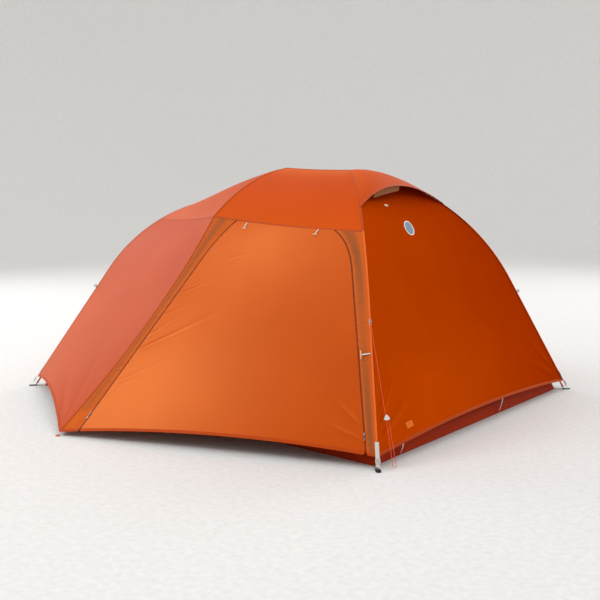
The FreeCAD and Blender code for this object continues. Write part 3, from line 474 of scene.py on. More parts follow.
# ---- pieces ---------------------------------------------------------------------------------
class Finish:
    """A procedural material, made once and shared by the pieces that wear it."""

    made: dict[str, bpy.types.Material] = {}
    name: str

    def dress(self, shader: bpy.types.Node, tree: bpy.types.NodeTree) -> None:
        """Sets the shader's own values and links its patterns."""
        raise NotImplementedError

    def material(self) -> bpy.types.Material:
        """The finish as a Blender material."""
        if self.name not in Finish.made:
            made = bpy.data.materials.new(self.name)
            made.use_nodes = True
            tree = made.node_tree
            self.dress(tree.nodes["Principled BSDF"], tree)
            Finish.made[self.name] = made
        return Finish.made[self.name]


@dataclass
class Piece:
    """One visible piece: its shell, its finish, and the body that it moves with."""

    name: str
    shell: Shell
    body: str
    finish: Finish
    slot: Slot
    stands_for: Sequence[str] = ()

    def build(self) -> bpy.types.Object:
        """Makes the mesh object, dresses it, and hangs it on its body."""
        mesh = bpy.data.meshes.new(self.name)
        faces = [face for block in self.shell.faces for face in block.tolist()]
        mesh.from_pydata(self.shell.points.tolist(), [], faces)
        corners = np.concatenate([block.ravel() for block in self.shell.faces])
        layer = mesh.uv_layers.new(name="cloth")
        layer.data.foreach_set("uv", self.shell.uv[corners].astype(np.float32).ravel())
        # the tone attribute carries the painted light and shade of the fly's panels to their
        # finish
        tone = mesh.attributes.new("tone", "FLOAT", "POINT")
        tone.data.foreach_set("value", self.shell.tone.astype(np.float32))
        mesh.polygons.foreach_set("use_smooth", np.full(len(faces), True))
        self.mark_sharp(mesh)
        mesh.update()
        mesh.materials.append(self.finish.material())
        obj = bpy.data.objects.new(self.name, mesh)
        bpy.context.scene.collection.objects.link(obj)
        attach(obj, self.body)
        if self.stands_for:
            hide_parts(*self.stands_for)
        LOG.info("%s: %d faces on %s", self.name, len(faces), self.body)
        return obj

    def mark_sharp(self, mesh: bpy.types.Mesh) -> None:
        """Marks an edge sharp where two groups of faces meet, so rims and caps stay crisp."""
        edge = np.zeros(len(mesh.loops), np.int32)
        mesh.loops.foreach_get("edge_index", edge)
        sizes = [block.size for block in self.shell.faces]
        group = np.repeat(np.arange(len(sizes)), sizes)
        low = np.full(len(mesh.edges), len(sizes))
        high = np.full(len(mesh.edges), -1)
        np.minimum.at(low, edge, group)
        np.maximum.at(high, edge, group)
        sharp = mesh.attributes.new("sharp_edge", "BOOLEAN", "EDGE")
        sharp.data.foreach_set("value", low != high)


# ---- finishes -------------------------------------------------------------------------------
class Nodes:
    """Short ways to add and link shader nodes in one tree."""

    def __init__(self, tree: bpy.types.NodeTree) -> None:
        """Keeps the tree."""
        self.tree = tree

    def add(self, kind: str, **values: object) -> bpy.types.Node:
        """Adds a node; a value named like an input is set there, else it is a property.

        Args:
            kind: the node's type, without its prefix.
            values: input values and properties, with _ for a space.

        Returns:
            The node.
        """
        node = self.tree.nodes.new("ShaderNode" + kind)
        for key, value in values.items():
            title = key.replace("_", " ").title()
            if hasattr(node, key):
                setattr(node, key, value)
            else:
                node.inputs[title].default_value = value
        return node

    def link(self, start: bpy.types.NodeSocket, end: bpy.types.NodeSocket) -> None:
        """Joins two sockets."""
        self.tree.links.new(start, end)

    def math(self, operation: str, a: object, b: object = 0.0,
             c: object = 0.0) -> bpy.types.NodeSocket:
        """A Math node of up to three sockets or numbers; returns its result."""
        node = self.tree.nodes.new("ShaderNodeMath")
        node.operation = operation
        for socket, value in zip(node.inputs, (a, b, c)):
            if isinstance(value, (int, float)):
                socket.default_value = value
            else:
                self.link(value, socket)
        return node.outputs[0]

    def mix(self, share: object, a: object, b: object, blend: str = "MIX") -> bpy.types.NodeSocket:
        """A colour Mix node of sockets or colours; returns its result."""
        node = self.tree.nodes.new("ShaderNodeMix")
        node.data_type, node.blend_type = "RGBA", blend
        for index, value in ((0, share), (6, a), (7, b)):
            if isinstance(value, bpy.types.NodeSocket):
                self.link(value, node.inputs[index])
            else:
                node.inputs[index].default_value = value
        return node.outputs[2]

    def cloth_uv(self, scale: float) -> bpy.types.NodeSocket:
        """The piece's own cloth position, in metres times scale."""
        uv = self.add("UVMap", uv_map="cloth")
        mapping = self.tree.nodes.new("ShaderNodeMapping")
        mapping.inputs["Scale"].default_value = (scale, scale, scale)
        self.link(uv.outputs[0], mapping.inputs[0])
        return mapping.outputs[0]

    def object_noise(self, scale: float, detail: float = 3.0,
                     stretch: tuple[float, float, float] = (1.0, 1.0, 1.0)
                     ) -> bpy.types.NodeSocket:
        """Noise on the object's own coordinates, about 0.5."""
        place = self.tree.nodes.new("ShaderNodeTexCoord")
        mapping = self.tree.nodes.new("ShaderNodeMapping")
        mapping.inputs["Scale"].default_value = stretch
        self.link(place.outputs["Object"], mapping.inputs[0])
        noise = self.add("TexNoise", scale=scale, detail=detail)
        self.link(mapping.outputs[0], noise.inputs["Vector"])
        return noise.outputs[0]

    def bump(self, shader: bpy.types.Node, height: bpy.types.NodeSocket, strength: float,
             distance: float) -> None:
        """Bumps the shader by a height."""
        node = self.tree.nodes.new("ShaderNodeBump")
        node.inputs["Strength"].default_value = strength
        node.inputs["Distance"].default_value = distance
        self.link(height, node.inputs["Height"])
        self.link(node.outputs[0], shader.inputs["Normal"])


@dataclass(frozen=True)
class CoatedNylon(Finish):
    """Thin coated cloth with a square ripstop grid, with painted light and shade between two
    colours.
    """

    name: str
    deep: Colour
    light: Colour
    roughness: float = 0.5
    grid: float = 0.006
    specular: float = 0.05

    def dress(self, shader: bpy.types.Node, tree: bpy.types.NodeTree) -> None:
        """Paints light and shade by the piece's own tone values, then adds ripstop threads, weave
        and soft clouding.
        """
        n = Nodes(tree)
        shader.inputs["Roughness"].default_value = self.roughness
        shader.inputs["Specular IOR Level"].default_value = self.specular
        tone = n.add("Attribute", attribute_name="tone")
        # painted light and shade: the tone mixes the deep, shaded colour with the light, lit one
        base = n.mix(tone.outputs["Fac"], self.deep, self.light)
        cloud = n.object_noise(3.2, 2.0)
        shade = n.math("MULTIPLY_ADD", cloud, 0.16, 0.92)
        threads = n.add("TexBrick", offset=0.0, scale=1.0, mortar_size=0.05,
                        brick_width=1.0, row_height=1.0)
        n.link(n.cloth_uv(1.0 / self.grid), threads.inputs["Vector"])
        weave = n.add("TexNoise", scale=1.0, detail=1.0)
        n.link(n.cloth_uv(900.0), weave.inputs["Vector"])
        tint = n.math("MULTIPLY", threads.outputs["Fac"], 0.10)
        lit = n.math("SUBTRACT", shade, tint)
        combine = n.add("CombineColor")
        for socket in combine.inputs[:3]:
            n.link(lit, socket)
        shown = n.mix(1.0, base, combine.outputs[0], "MULTIPLY")
        n.link(shown, shader.inputs["Base Color"])
        height = n.math("ADD", threads.outputs["Fac"], n.math("MULTIPLY", weave.outputs[0], 0.5))
        n.bump(shader, height, 0.25, 0.0004)


@dataclass(frozen=True)
class StitchedTape(Finish):
    """Seam tape or binding with two rows of stitches along it."""

    name: str
    cloth: Colour
    thread: Colour
    row: float = 0.0032
    pitch: float = 0.0045
    roughness: float = 0.5

    def dress(self, shader: bpy.types.Node, tree: bpy.types.NodeTree) -> None:
        """A stitch shows where the along position's repeat is under 0.62, near either row."""
        n = Nodes(tree)
        shader.inputs["Roughness"].default_value = self.roughness
        shader.inputs["Specular IOR Level"].default_value = 0.12
        split = n.add("SeparateXYZ")
        n.link(n.cloth_uv(1.0), split.inputs[0])
        repeat = n.math("FRACT", n.math("DIVIDE", split.outputs[0], self.pitch))
        dash = n.math("LESS_THAN", repeat, 0.62)
        off_row = n.math("ABSOLUTE", n.math("SUBTRACT", n.math("ABSOLUTE", split.outputs[1]),
                                            self.row))
        near = n.math("LESS_THAN", off_row, 0.00045)
        stitch = n.math("MULTIPLY", dash, near)
        grain = n.object_noise(60.0, 2.0)
        base = n.mix(grain, tuple(0.86 * c for c in self.cloth[:3]) + (1.0,), self.cloth)
        n.link(n.mix(stitch, base, self.thread), shader.inputs["Base Color"])
        n.bump(shader, n.math("ADD", stitch, n.math("MULTIPLY", grain, 0.4)), 0.5, 0.0005)


@dataclass(frozen=True)
class RibbedWebbing(Finish):
    """Woven webbing: ribs across it and a herringbone of fine threads."""

    name: str
    yarn: Colour
    shadow: Colour
    rib: float = 0.0016
    roughness: float = 0.6

    def dress(self, shader: bpy.types.Node, tree: bpy.types.NodeTree) -> None:
        """Ribs are a sine of the along position, threads a sine of the across position."""
        n = Nodes(tree)
        shader.inputs["Roughness"].default_value = self.roughness
        shader.inputs["Sheen Weight"].default_value = 0.3
        split = n.add("SeparateXYZ")
        n.link(n.cloth_uv(2.0 * math.pi / self.rib), split.inputs[0])
        ribs = n.math("SINE", split.outputs[0])
        threads = n.math("SINE", n.math("MULTIPLY", split.outputs[1], 1.6))
        both = n.math("MULTIPLY", n.math("ADD", ribs, threads), 0.25)
        share = n.math("ADD", both, 0.5)
        n.link(n.mix(share, self.shadow, self.yarn), shader.inputs["Base Color"])
        n.bump(shader, share, 0.6, 0.0005)


@dataclass(frozen=True)
class FineMesh(Finish):
    """Fine insect mesh: round holes in a grid, darker where they are."""

    name: str
    yarn: Colour
    hole: Colour
    pitch: float = 0.0016

    def dress(self, shader: bpy.types.Node, tree: bpy.types.NodeTree) -> None:
        """The holes are the middles of a cell pattern on the cloth's own position."""
        n = Nodes(tree)
        shader.inputs["Roughness"].default_value = 0.7
        shader.inputs["Alpha"].default_value = 0.55
        cells = n.add("TexVoronoi", scale=1.0, randomness=0.15)
        n.link(n.cloth_uv(1.0 / self.pitch), cells.inputs["Vector"])
        share = n.math("GREATER_THAN", cells.outputs["Distance"], 0.36)
        n.link(n.mix(share, self.hole, self.yarn), shader.inputs["Base Color"])
        n.bump(shader, share, 0.4, 0.0003)


@dataclass(frozen=True)
class Moulded(Finish):
    """Moulded plastic with a faint grain."""

    name: str
    base: Colour
    roughness: float = 0.45

    def dress(self, shader: bpy.types.Node, tree: bpy.types.NodeTree) -> None:
        """Grain and slight mottling from noise."""
        n = Nodes(tree)
        shader.inputs["Roughness"].default_value = self.roughness
        grain = n.object_noise(700.0, 2.0)
        soft = n.object_noise(40.0, 2.0)
        dark = tuple(0.8 * c for c in self.base[:3]) + (1.0,)
        n.link(n.mix(soft, dark, self.base), shader.inputs["Base Color"])
        n.bump(shader, grain, 0.25, 0.0003)


@dataclass(frozen=True)
class BrushedMetal(Finish):
    """Anodised or plain metal with fine brushing and slight wear."""

    name: str
    base: Colour
    worn: Colour
    roughness: float = 0.28

    def dress(self, shader: bpy.types.Node, tree: bpy.types.NodeTree) -> None:
        """Brushing is noise stretched along the piece; wear is broad noise past a level."""
        n = Nodes(tree)
        shader.inputs["Metallic"].default_value = 1.0
        brush = n.object_noise(60.0, 4.0, (30.0, 30.0, 1.0))
        wear = n.add("MapRange", from_min=0.58, from_max=0.75)
        n.link(n.object_noise(14.0, 4.0), wear.inputs[0])
        n.link(n.mix(wear.outputs[0], self.base, self.worn), shader.inputs["Base Color"])
        rough = n.math("MULTIPLY_ADD", brush, 0.2, self.roughness)
        n.link(rough, shader.inputs["Roughness"])
        n.bump(shader, brush, 0.1, 0.0002)


@dataclass(frozen=True)
class BraidedCord(Finish):
    """Braided cord sheath: two crossing sets of slanted strands."""

    name: str
    strand: Colour
    fleck: Colour

    def dress(self, shader: bpy.types.Node, tree: bpy.types.NodeTree) -> None:
        """Strands are bands of the object's own coordinates, slanted both ways."""
        n = Nodes(tree)
        shader.inputs["Roughness"].default_value = 0.55
        shader.inputs["Sheen Weight"].default_value = 0.3
        place = n.tree.nodes.new("ShaderNodeTexCoord")
        waves = []
        for tilt in (0.7, -0.7):
            mapping = n.tree.nodes.new("ShaderNodeMapping")
            mapping.inputs["Rotation"].default_value = (tilt, 0.4, tilt)
            n.link(place.outputs["Object"], mapping.inputs[0])
            wave = n.add("TexWave", scale=160.0)
            n.link(mapping.outputs[0], wave.inputs["Vector"])
            waves.append(wave.outputs["Fac"])
        braid = n.math("MULTIPLY", waves[0], waves[1])
        n.link(n.mix(braid, self.fleck, self.strand), shader.inputs["Base Color"])
        n.bump(shader, braid, 0.5, 0.0005)


# The roof, side, door and end finishes are one orange cloth in painted lit and shaded copies: the
# head end's is painted in shade, the foot side's painted lit, and each paints light and shade
# between its deep and its light colour.
ROOF = CoatedNylon("roof_nylon", colour("CA4500"), colour("DB5D0C"))
ROOF_FOOT = CoatedNylon("roof_foot_nylon", colour("C04A1C"), colour("D15F32"))
LIT_SIDE_NYLON = CoatedNylon("lit_side_nylon", colour("BE461A"), colour("CF6240"))
DOOR_NYLON = CoatedNylon("door_nylon", colour("C54C06"), colour("EC7C3A"))
SHADED_END_NYLON = CoatedNylon("shaded_end_nylon", colour("A42C00"), colour("D04C00"), specular=0.0)
FLAP_NYLON = CoatedNylon("flap_nylon", colour("A0562C"), colour("D3601C"))
FLOOR_NYLON = CoatedNylon("floor_nylon", colour("8A1E00"), colour("B23410"), 0.5, 0.004)
INNER_MESH = FineMesh("inner_mesh", colour("C9C6C0"), colour("6B6866"))
SEAM_TAPE = StitchedTape("seam_tape", colour("C04A14"), colour("DA6630"))
HEM_TAPE = StitchedTape("hem_tape", colour("BE4400"), colour("D2560C"))
PIPING = StitchedTape("leg_piping", colour("F2671F"), colour("FFA060"), 0.0015)
ZIP_COIL = Moulded("zip_coil", colour("8C3410"), 0.6)
WHITE_WEBBING = RibbedWebbing("white_webbing", colour("EFECE6"), colour("BDB8B0"))
GREY_WEBBING = RibbedWebbing("grey_webbing", colour("B9B7B8"), colour("807E80"))
ORANGE_CORD = BraidedCord("orange_cord", colour("FF5E0A"), colour("E04400"))
SHOCK_CORD = BraidedCord("shock_cord", colour("E9E9E6"), colour("77787A"))
CREAM_PLASTIC = Moulded("cream_plastic", colour("F3C98F"), 0.4)
PALE_PLASTIC = Moulded("pale_plastic", colour("E4E1DC"), 0.4)
DARK_PLASTIC = Moulded("dark_plastic", colour("2B2A2C"), 0.45)
CLIP_PLASTIC = Moulded("clip_plastic", colour("5A5B60"), 0.45)
POLE_ALLOY = BrushedMetal("pole_alloy", colour("D8662A"), colour("E9A27B"))
STEEL = BrushedMetal("steel_fittings", colour("8A8B8E"), colour("C6C7CA"), 0.32)
TAG_CLOTH = StitchedTape("tag_cloth", colour("F4731A"), colour("FFB070"), 0.011)
TAB_CLOTH = StitchedTape("tab_cloth", colour("F3D9B4"), colour("FFFFFF"), 0.005)
PATCH_FIELD = StitchedTape("patch_field", colour("7F9AAE"), colour("A9BECC"), 0.2)
PATCH_RIM = StitchedTape("patch_rim", colour("F1F0EE"), colour("9AA2AA"), 0.2)
BRIM_NYLON = CoatedNylon("brim_nylon", colour("8A5232"), colour("AE7450"), 0.4)
ORANGE_PLASTIC = Moulded("orange_webbing_loop", colour("F0782E"), 0.6)
FLOOR_PALE = Moulded("pale_floor", colour("F2F1EF"), 0.8)


# ---- cloth ----------------------------------------------------------------------------------
@dataclass(frozen=True)
class Fold:
    """A crease in stretched cloth, from one place on a panel to another."""

    start: tuple[float, float]
    end: tuple[float, float]
    width: float = 0.010
    height: float = 0.004

    def lift(self, points: Array, patch: Patch, normal: Array) -> Array:
        """How far the crease lifts each point.

        With x the distance off the crease's line over its width, and a the share along it, the
        lift is the height times (exp(-x^2) - 0.7 exp(-(x-1.5)^2)), which is a ridge beside a
        hollow, times a quick rise and a slow fall of a.
        """
        p0, p1 = patch(np.array(self.start[0]), np.array(self.start[1])), patch(
            np.array(self.end[0]), np.array(self.end[1]))
        length = float(np.linalg.norm(p1 - p0))
        way = (p1 - p0) / length
        a = (points - p0) @ way / length
        side = unit(np.cross(normal, way))
        x = ((points - p0) @ side) / (self.width * (0.6 + 0.8 * np.clip(a, 0.0, 1.0)))
        shape = np.exp(-x ** 2) - 0.7 * np.exp(-(x - 1.5) ** 2)
        rise = np.clip((a + 0.02) / 0.10, 0.0, 1.0)
        fall = np.clip(1.0 - a, 0.0, 1.0) ** 1.3
        return self.height * shape * rise * rise * (3 - 2 * rise) * fall


# A panel's tone from its shares and points; on the roof, side, door and end panels it paints light
# and shade.
Tone = Callable[[Array, Array, Array], Array]


@dataclass
class Panel:
    """A sewn panel of cloth: a patch, cut back from its edges, with folds and seam pucker."""

    patch: Patch
    cells: tuple[int, int] = (90, 90)
    gap: tuple[float, float, float, float] = (0.0, 0.0, 0.0, 0.0)
    u: tuple[float, float] = (0.0, 1.0)
    v: tuple[float, float] = (0.0, 1.0)
    thickness: float = 0.0008
    billow: float = 0.003
    pucker: float = 0.0005
    folds: Sequence[Fold] = ()
    tone: Optional[Tone] = None
    # how strongly the folds' lift paints light and shade into the tone
    painted_crease_shade: float = 75.0
    seed: int = 1
    flat: tuple[float, float] = field(init=False, default=(0.0, 0.0))
    area: float = field(init=False, default=0.0)

    def shell(self) -> Shell:
        """The panel as a closed sheet; it also notes the cut's flat size and area.

        The outer face is the patch plus its unit normal times the sum of a slow billow, which
        is a product of two sine waves faded out at the edges, a short ripple along each seam
        that dies out within 12 mm, and the folds.
        """
        a = np.linspace(0.0, 1.0, self.cells[0] + 1)[:, None]
        v0, v1 = self.v
        tall = float(np.linalg.norm(self.patch(np.array(0.5), np.array(v1))
                                    - self.patch(np.array(0.5), np.array(v0))))
        start = v0 + (v1 - v0) * self.gap[2] / tall
        stop = v1 - (v1 - v0) * self.gap[3] / tall
        b = np.linspace(start, stop, self.cells[1] + 1)[None, :]
        wide = np.linalg.norm(self.patch(np.array(self.u[1]), b) - self.patch(
            np.array(self.u[0]), b), axis=-1)
        left = self.u[0] + (self.u[1] - self.u[0]) * self.gap[0] / wide * self.slant(0, b)
        right = self.u[1] - (self.u[1] - self.u[0]) * self.gap[1] / wide * self.slant(1, b)
        u, v = np.broadcast_arrays(left + (right - left) * a, b)
        base = self.patch(u, v)
        du, dv = np.gradient(base, axis=0), np.gradient(base, axis=1)
        normal = unit(np.cross(du, dv))
        middle = base[base.shape[0] // 2, base.shape[1] // 2]
        if normal[base.shape[0] // 2, base.shape[1] // 2] @ (middle - CORE) < 0.0:
            normal = -normal
        x = np.cumsum(np.linalg.norm(du, axis=-1), axis=0)
        y = np.cumsum(np.linalg.norm(dv, axis=-1), axis=1)
        x, y = x - x[:1], y - y[:, :1]
        self.flat = (float(x[-1].max()), float(y[:, -1].max()))
        self.area = float(np.linalg.norm(np.cross(du, dv), axis=-1)[:-1, :-1].sum())
        lift, creases = self.relief(base, normal, x, y)
        tone = np.full(x.shape, 0.5) if self.tone is None else self.tone(u, v, base)
        # painted light and shade: the folds' lift is added to the tone, so their ridges are
        # painted lighter and their hollows darker
        tone = tone + self.painted_crease_shade * creases
        outer = base + normal * lift[..., None]
        inner = outer - normal * self.thickness
        return sheet_shell(outer, inner, np.stack([x, y], -1), np.clip(tone, 0.0, 1.0))

    def slant(self, edge: int, v: Array) -> Array:
        """How much longer a gap along u is than the same gap square to that edge."""
        u, step = self.u[edge], 0.01
        across = self.patch(np.array(u + step), v) - self.patch(np.array(u - step), v)
        down = self.patch(np.array(u), v + step) - self.patch(np.array(u), v - step)
        sine = np.linalg.norm(np.cross(unit(across), unit(down)), axis=-1)
        return 1.0 / np.maximum(sine, 0.2)

    def relief(self, base: Array, normal: Array, x: Array, y: Array) -> tuple[Array, Array]:
        """Height of the cloth off its patch, and the part of it that the folds make.

        The height is billow, seam pucker and folds together. The billow and the folds die out
        at the rim, and the pucker is highest there and dies out inwards.
        """
        wide, tall = x[-1:], y[:, -1:]
        fade = 16.0 * x / wide * (1 - x / wide) * y / tall * (1 - y / tall)
        phase = 1.7 * self.seed
        waves = np.sin(5.1 * x + phase) * np.sin(4.3 * y + 2.1 * phase)
        waves = waves + 0.4 * np.sin(11.0 * x - 7.0 * y + phase)
        lift = self.billow * waves * fade
        for near, along in ((x, y), (wide - x, y), (y, x), (tall - y, x)):
            turn = along * 2.0 * math.pi / RIPPLE_PITCH
            ripple = np.sin(turn + 3.0 * np.sin(along * 9.0 + phase))
            lift = lift + self.pucker * ripple * np.exp(-near / RIPPLE_REACH)
        middle = normal[normal.shape[0] // 2, normal.shape[1] // 2]
        creases = np.zeros(x.shape)
        for fold in self.folds:
            creases = creases + fold.lift(base, self.patch, middle)
        creases = creases * np.clip(fade * 22.0, 0.0, 1.0)
        return lift + creases, creases


@dataclass
class Seam:
    """A folded seam or hem that follows a curve over the cloth."""

    curve: Curve
    off: Callable[[Array, Array], Array]
    width: float = 0.011
    height: float = 0.0022
    lift: float = 0.0004
    samples: int = 120
    ends: tuple[float, float] = (0.0, 1.0)

    def shell(self) -> Shell:
        """The seam as a flat rounded band carried along its curve."""
        t = np.linspace(self.ends[0], self.ends[1], self.samples)
        path = self.curve(t)
        off = unit(self.off(t, path))
        return band(path + off * self.lift, off, self.width, self.height)


def from_core(_: Array, path: Array) -> Array:
    """Directions away from the tent's core."""
    return path - CORE


def off_patches(*patches: tuple[Patch, str]) -> Callable[[Array, Array], Array]:
    """The mean outward normal of some patches along one edge of each.

    Args:
        patches: a patch and which of its edges, "top", "bottom", "left" or "right".

    Returns:
        A function of the edge's shares and points.
    """
    def at(t: Array, path: Array) -> Array:
        """Mean of the patches' normals, by central differences just inside the edge."""
        total = np.zeros(path.shape)
        for patch, edge in patches:
            e, h = 0.02, 0.004
            t_in = np.clip(t, 0.01, 0.99)
            u = {"left": np.full(t.shape, e), "right": np.full(t.shape, 1 - e)}.get(edge, t_in)
            v = {"top": np.full(t.shape, e), "bottom": np.full(t.shape, 1 - e)}.get(edge, t_in)
            n = unit(np.cross(patch(u + h, v) - patch(u - h, v), patch(u, v + h)
                              - patch(u, v - h)))
            n = n * np.sign(((path - CORE) * n).sum(-1, keepdims=True))
            total = total + n
        return unit(total)

    return at


def declare(obj: bpy.types.Object, panels: Sequence[Panel],
            fill: float = 0.31) -> None:
    """Logs a cloth piece's cut: the widest and longest of its panels, and their area.

    Args:
        obj: the piece.
        panels: its panels, already built.
        fill: least share of its cut's box that the cloth fills, under half for a pointed cut.
    """
    area = sum(panel.area for panel in panels)
    width = max(panel.flat[0] for panel in panels)
    length = max(panel.flat[1] for panel in panels)
    length = min(max(length, area / width * 1.001), area / width / fill)
    LOG.info("%s: cut %.3f by %.3f m, area %.3f m2", obj.name, width, length, area)


# ---- the tent's own lines -------------------------------------------------------------------
@dataclass
class TentLines:
    """Seam lines of the front side; the rear side mirrors them."""

    peak: Array = field(default_factory=lambda: np.array([-0.05, 0.0, 1.221]))
    head_hub: Array = field(default_factory=lambda: np.array([0.370, 0.0, 1.206]))
    foot_hub: Array = field(default_factory=lambda: np.array([-0.600, 0.0, 1.047]))
    head_tip: Array = field(default_factory=lambda: np.array([1.2, -0.94, 0.0]))
    foot_tip: Array = field(default_factory=lambda: np.array([-1.2, -0.89, 0.0]))
    brow_tip: Array = field(default_factory=lambda: np.array([-0.05, -0.575, 0.975]))
    stake_out: Array = field(default_factory=lambda: np.array([-0.22, -1.414, 0.022]))
    head_seam_z: float = 0.924
    foot_seam_z: float = 0.936
    hem_z: float = 0.056
    hub_reach: float = 0.0425
    end_inset: float = 0.0042
    zip_tops: tuple[float, float] = (0.172, 0.82)
    zip_bends: tuple[tuple[float, float], tuple[float, float]] = ((0.074, 0.21), (0.925, 0.22))
    zip_feet: tuple[float, float] = (0.068, 0.968)

    def __post_init__(self) -> None:
        """Works out legs, edge curves and patches."""
        self.head_leg = Leg(self.head_hub, self.head_tip, 6.0, 60.0)
        self.foot_leg = Leg(self.foot_hub, self.foot_tip, 8.8, 55.5)
        self.brow = Leg(self.peak, self.brow_tip, 7.5, 38.0)
        self.head_seam = self.head_leg.at_height(self.head_seam_z)
        self.foot_seam = self.foot_leg.at_height(self.foot_seam_z)
        self.head_hem = self.head_leg.at_height(self.hem_z)
        self.foot_hem = self.foot_leg.at_height(self.hem_z)
        self.ridge_head = bowed(self.peak, self.head_hub, (0.0, 0.0, -0.004))
        self.ridge_foot = bowed(self.peak, self.foot_hub, (0.0, 0.0, 0.024))
        sag = (0.0, 0.0, -0.012)
        self.eave_head = bowed(self.brow_tip, self.head_leg.point(self.head_seam), sag)
        self.eave_foot = bowed(self.brow_tip, self.foot_leg.point(self.foot_seam), sag)
        self.crease = bowed(self.brow_tip, self.stake_out, (0.045, 0.020, 0.0))
        self.front_hem = bowed(self.stake_out, self.head_leg.point(self.head_hem),
                               (0.0, 0.0, 0.038))
        self.side_hem = bowed(self.stake_out, self.foot_leg.point(self.foot_hem),
                              (0.028, 0.0, 0.062))
        self.head_low = self.head_leg.curve(self.head_seam, self.head_hem)
        self.foot_low = self.foot_leg.curve(self.foot_seam, self.foot_hem)
        self.vestibule = coons(self.eave_head, self.front_hem, self.crease, self.head_low)
        self.zips = [zip_line(self.eave_head(np.array(top)), self.vestibule(*map(np.array, bend)),
                              self.front_hem(np.array(foot)))
                     for top, bend, foot in zip(self.zip_tops, self.zip_bends, self.zip_feet)]
        self.door_top = part_of(self.eave_head, *self.zip_tops)
        self.door_hem = part_of(self.front_hem, *self.zip_feet)
        self.door = coons(self.door_top, self.door_hem, *self.zips)
        brow = self.brow.curve(0.0, self.brow.length)
        self.roof_head = coons(self.ridge_head, self.eave_head, brow,
                               self.head_leg.curve(0.0, self.head_seam))
        self.roof_foot = coons(self.ridge_foot, self.eave_foot, brow,
                               self.foot_leg.curve(0.0, self.foot_seam))
        self.foot_side = coons(self.eave_foot, self.side_hem, self.crease, self.foot_low)
        self.left_flap = coons(part_of(self.eave_head, 0.0, self.zip_tops[0]),
                               part_of(self.front_hem, 0.0, self.zip_feet[0]),
                               self.crease, self.zips[0])
        self.right_flap = coons(part_of(self.eave_head, self.zip_tops[1], 1.0),
                                part_of(self.front_hem, self.zip_feet[1], 1.0),
                                self.zips[1], self.head_low)
        self.head_end = self.end_patch(self.head_leg, self.head_hem, self.end_inset)
        self.foot_end = self.end_patch(self.foot_leg, self.foot_hem, 0.0)

    def end_patch(self, leg: Leg, hem: float, inset: float) -> Patch:
        """The surface of an end panel, between the front and the rear leg."""
        front = leg.curve(self.hub_reach, hem, inset)
        zero, one = front(np.array(0.0)), front(np.array(1.0))
        return coons(bowed(zero, zero * MIRROR), bowed(one, one * MIRROR, (0.0, 0.0, 0.038)),
                     front, opposite(front), 0.028)

    def on_end(self, u: float, v: float, off: float) -> Spot:
        """A spot on the head end panel, raised by off."""
        step = 0.01
        place = self.head_end(np.array(u), np.array(v))
        u_pair = self.head_end(np.array([u - step, u + step]), np.array(v))
        v_pair = self.head_end(np.array(u), np.array([v - step, v + step]))
        across = unit(u_pair[1] - u_pair[0])
        normal = unit(np.cross(across, v_pair[1] - v_pair[0]))
        normal = normal * np.sign(normal @ (place - CORE))
        along = unit(np.cross(across, normal))
        return Spot(place + normal * off, across, along, normal)


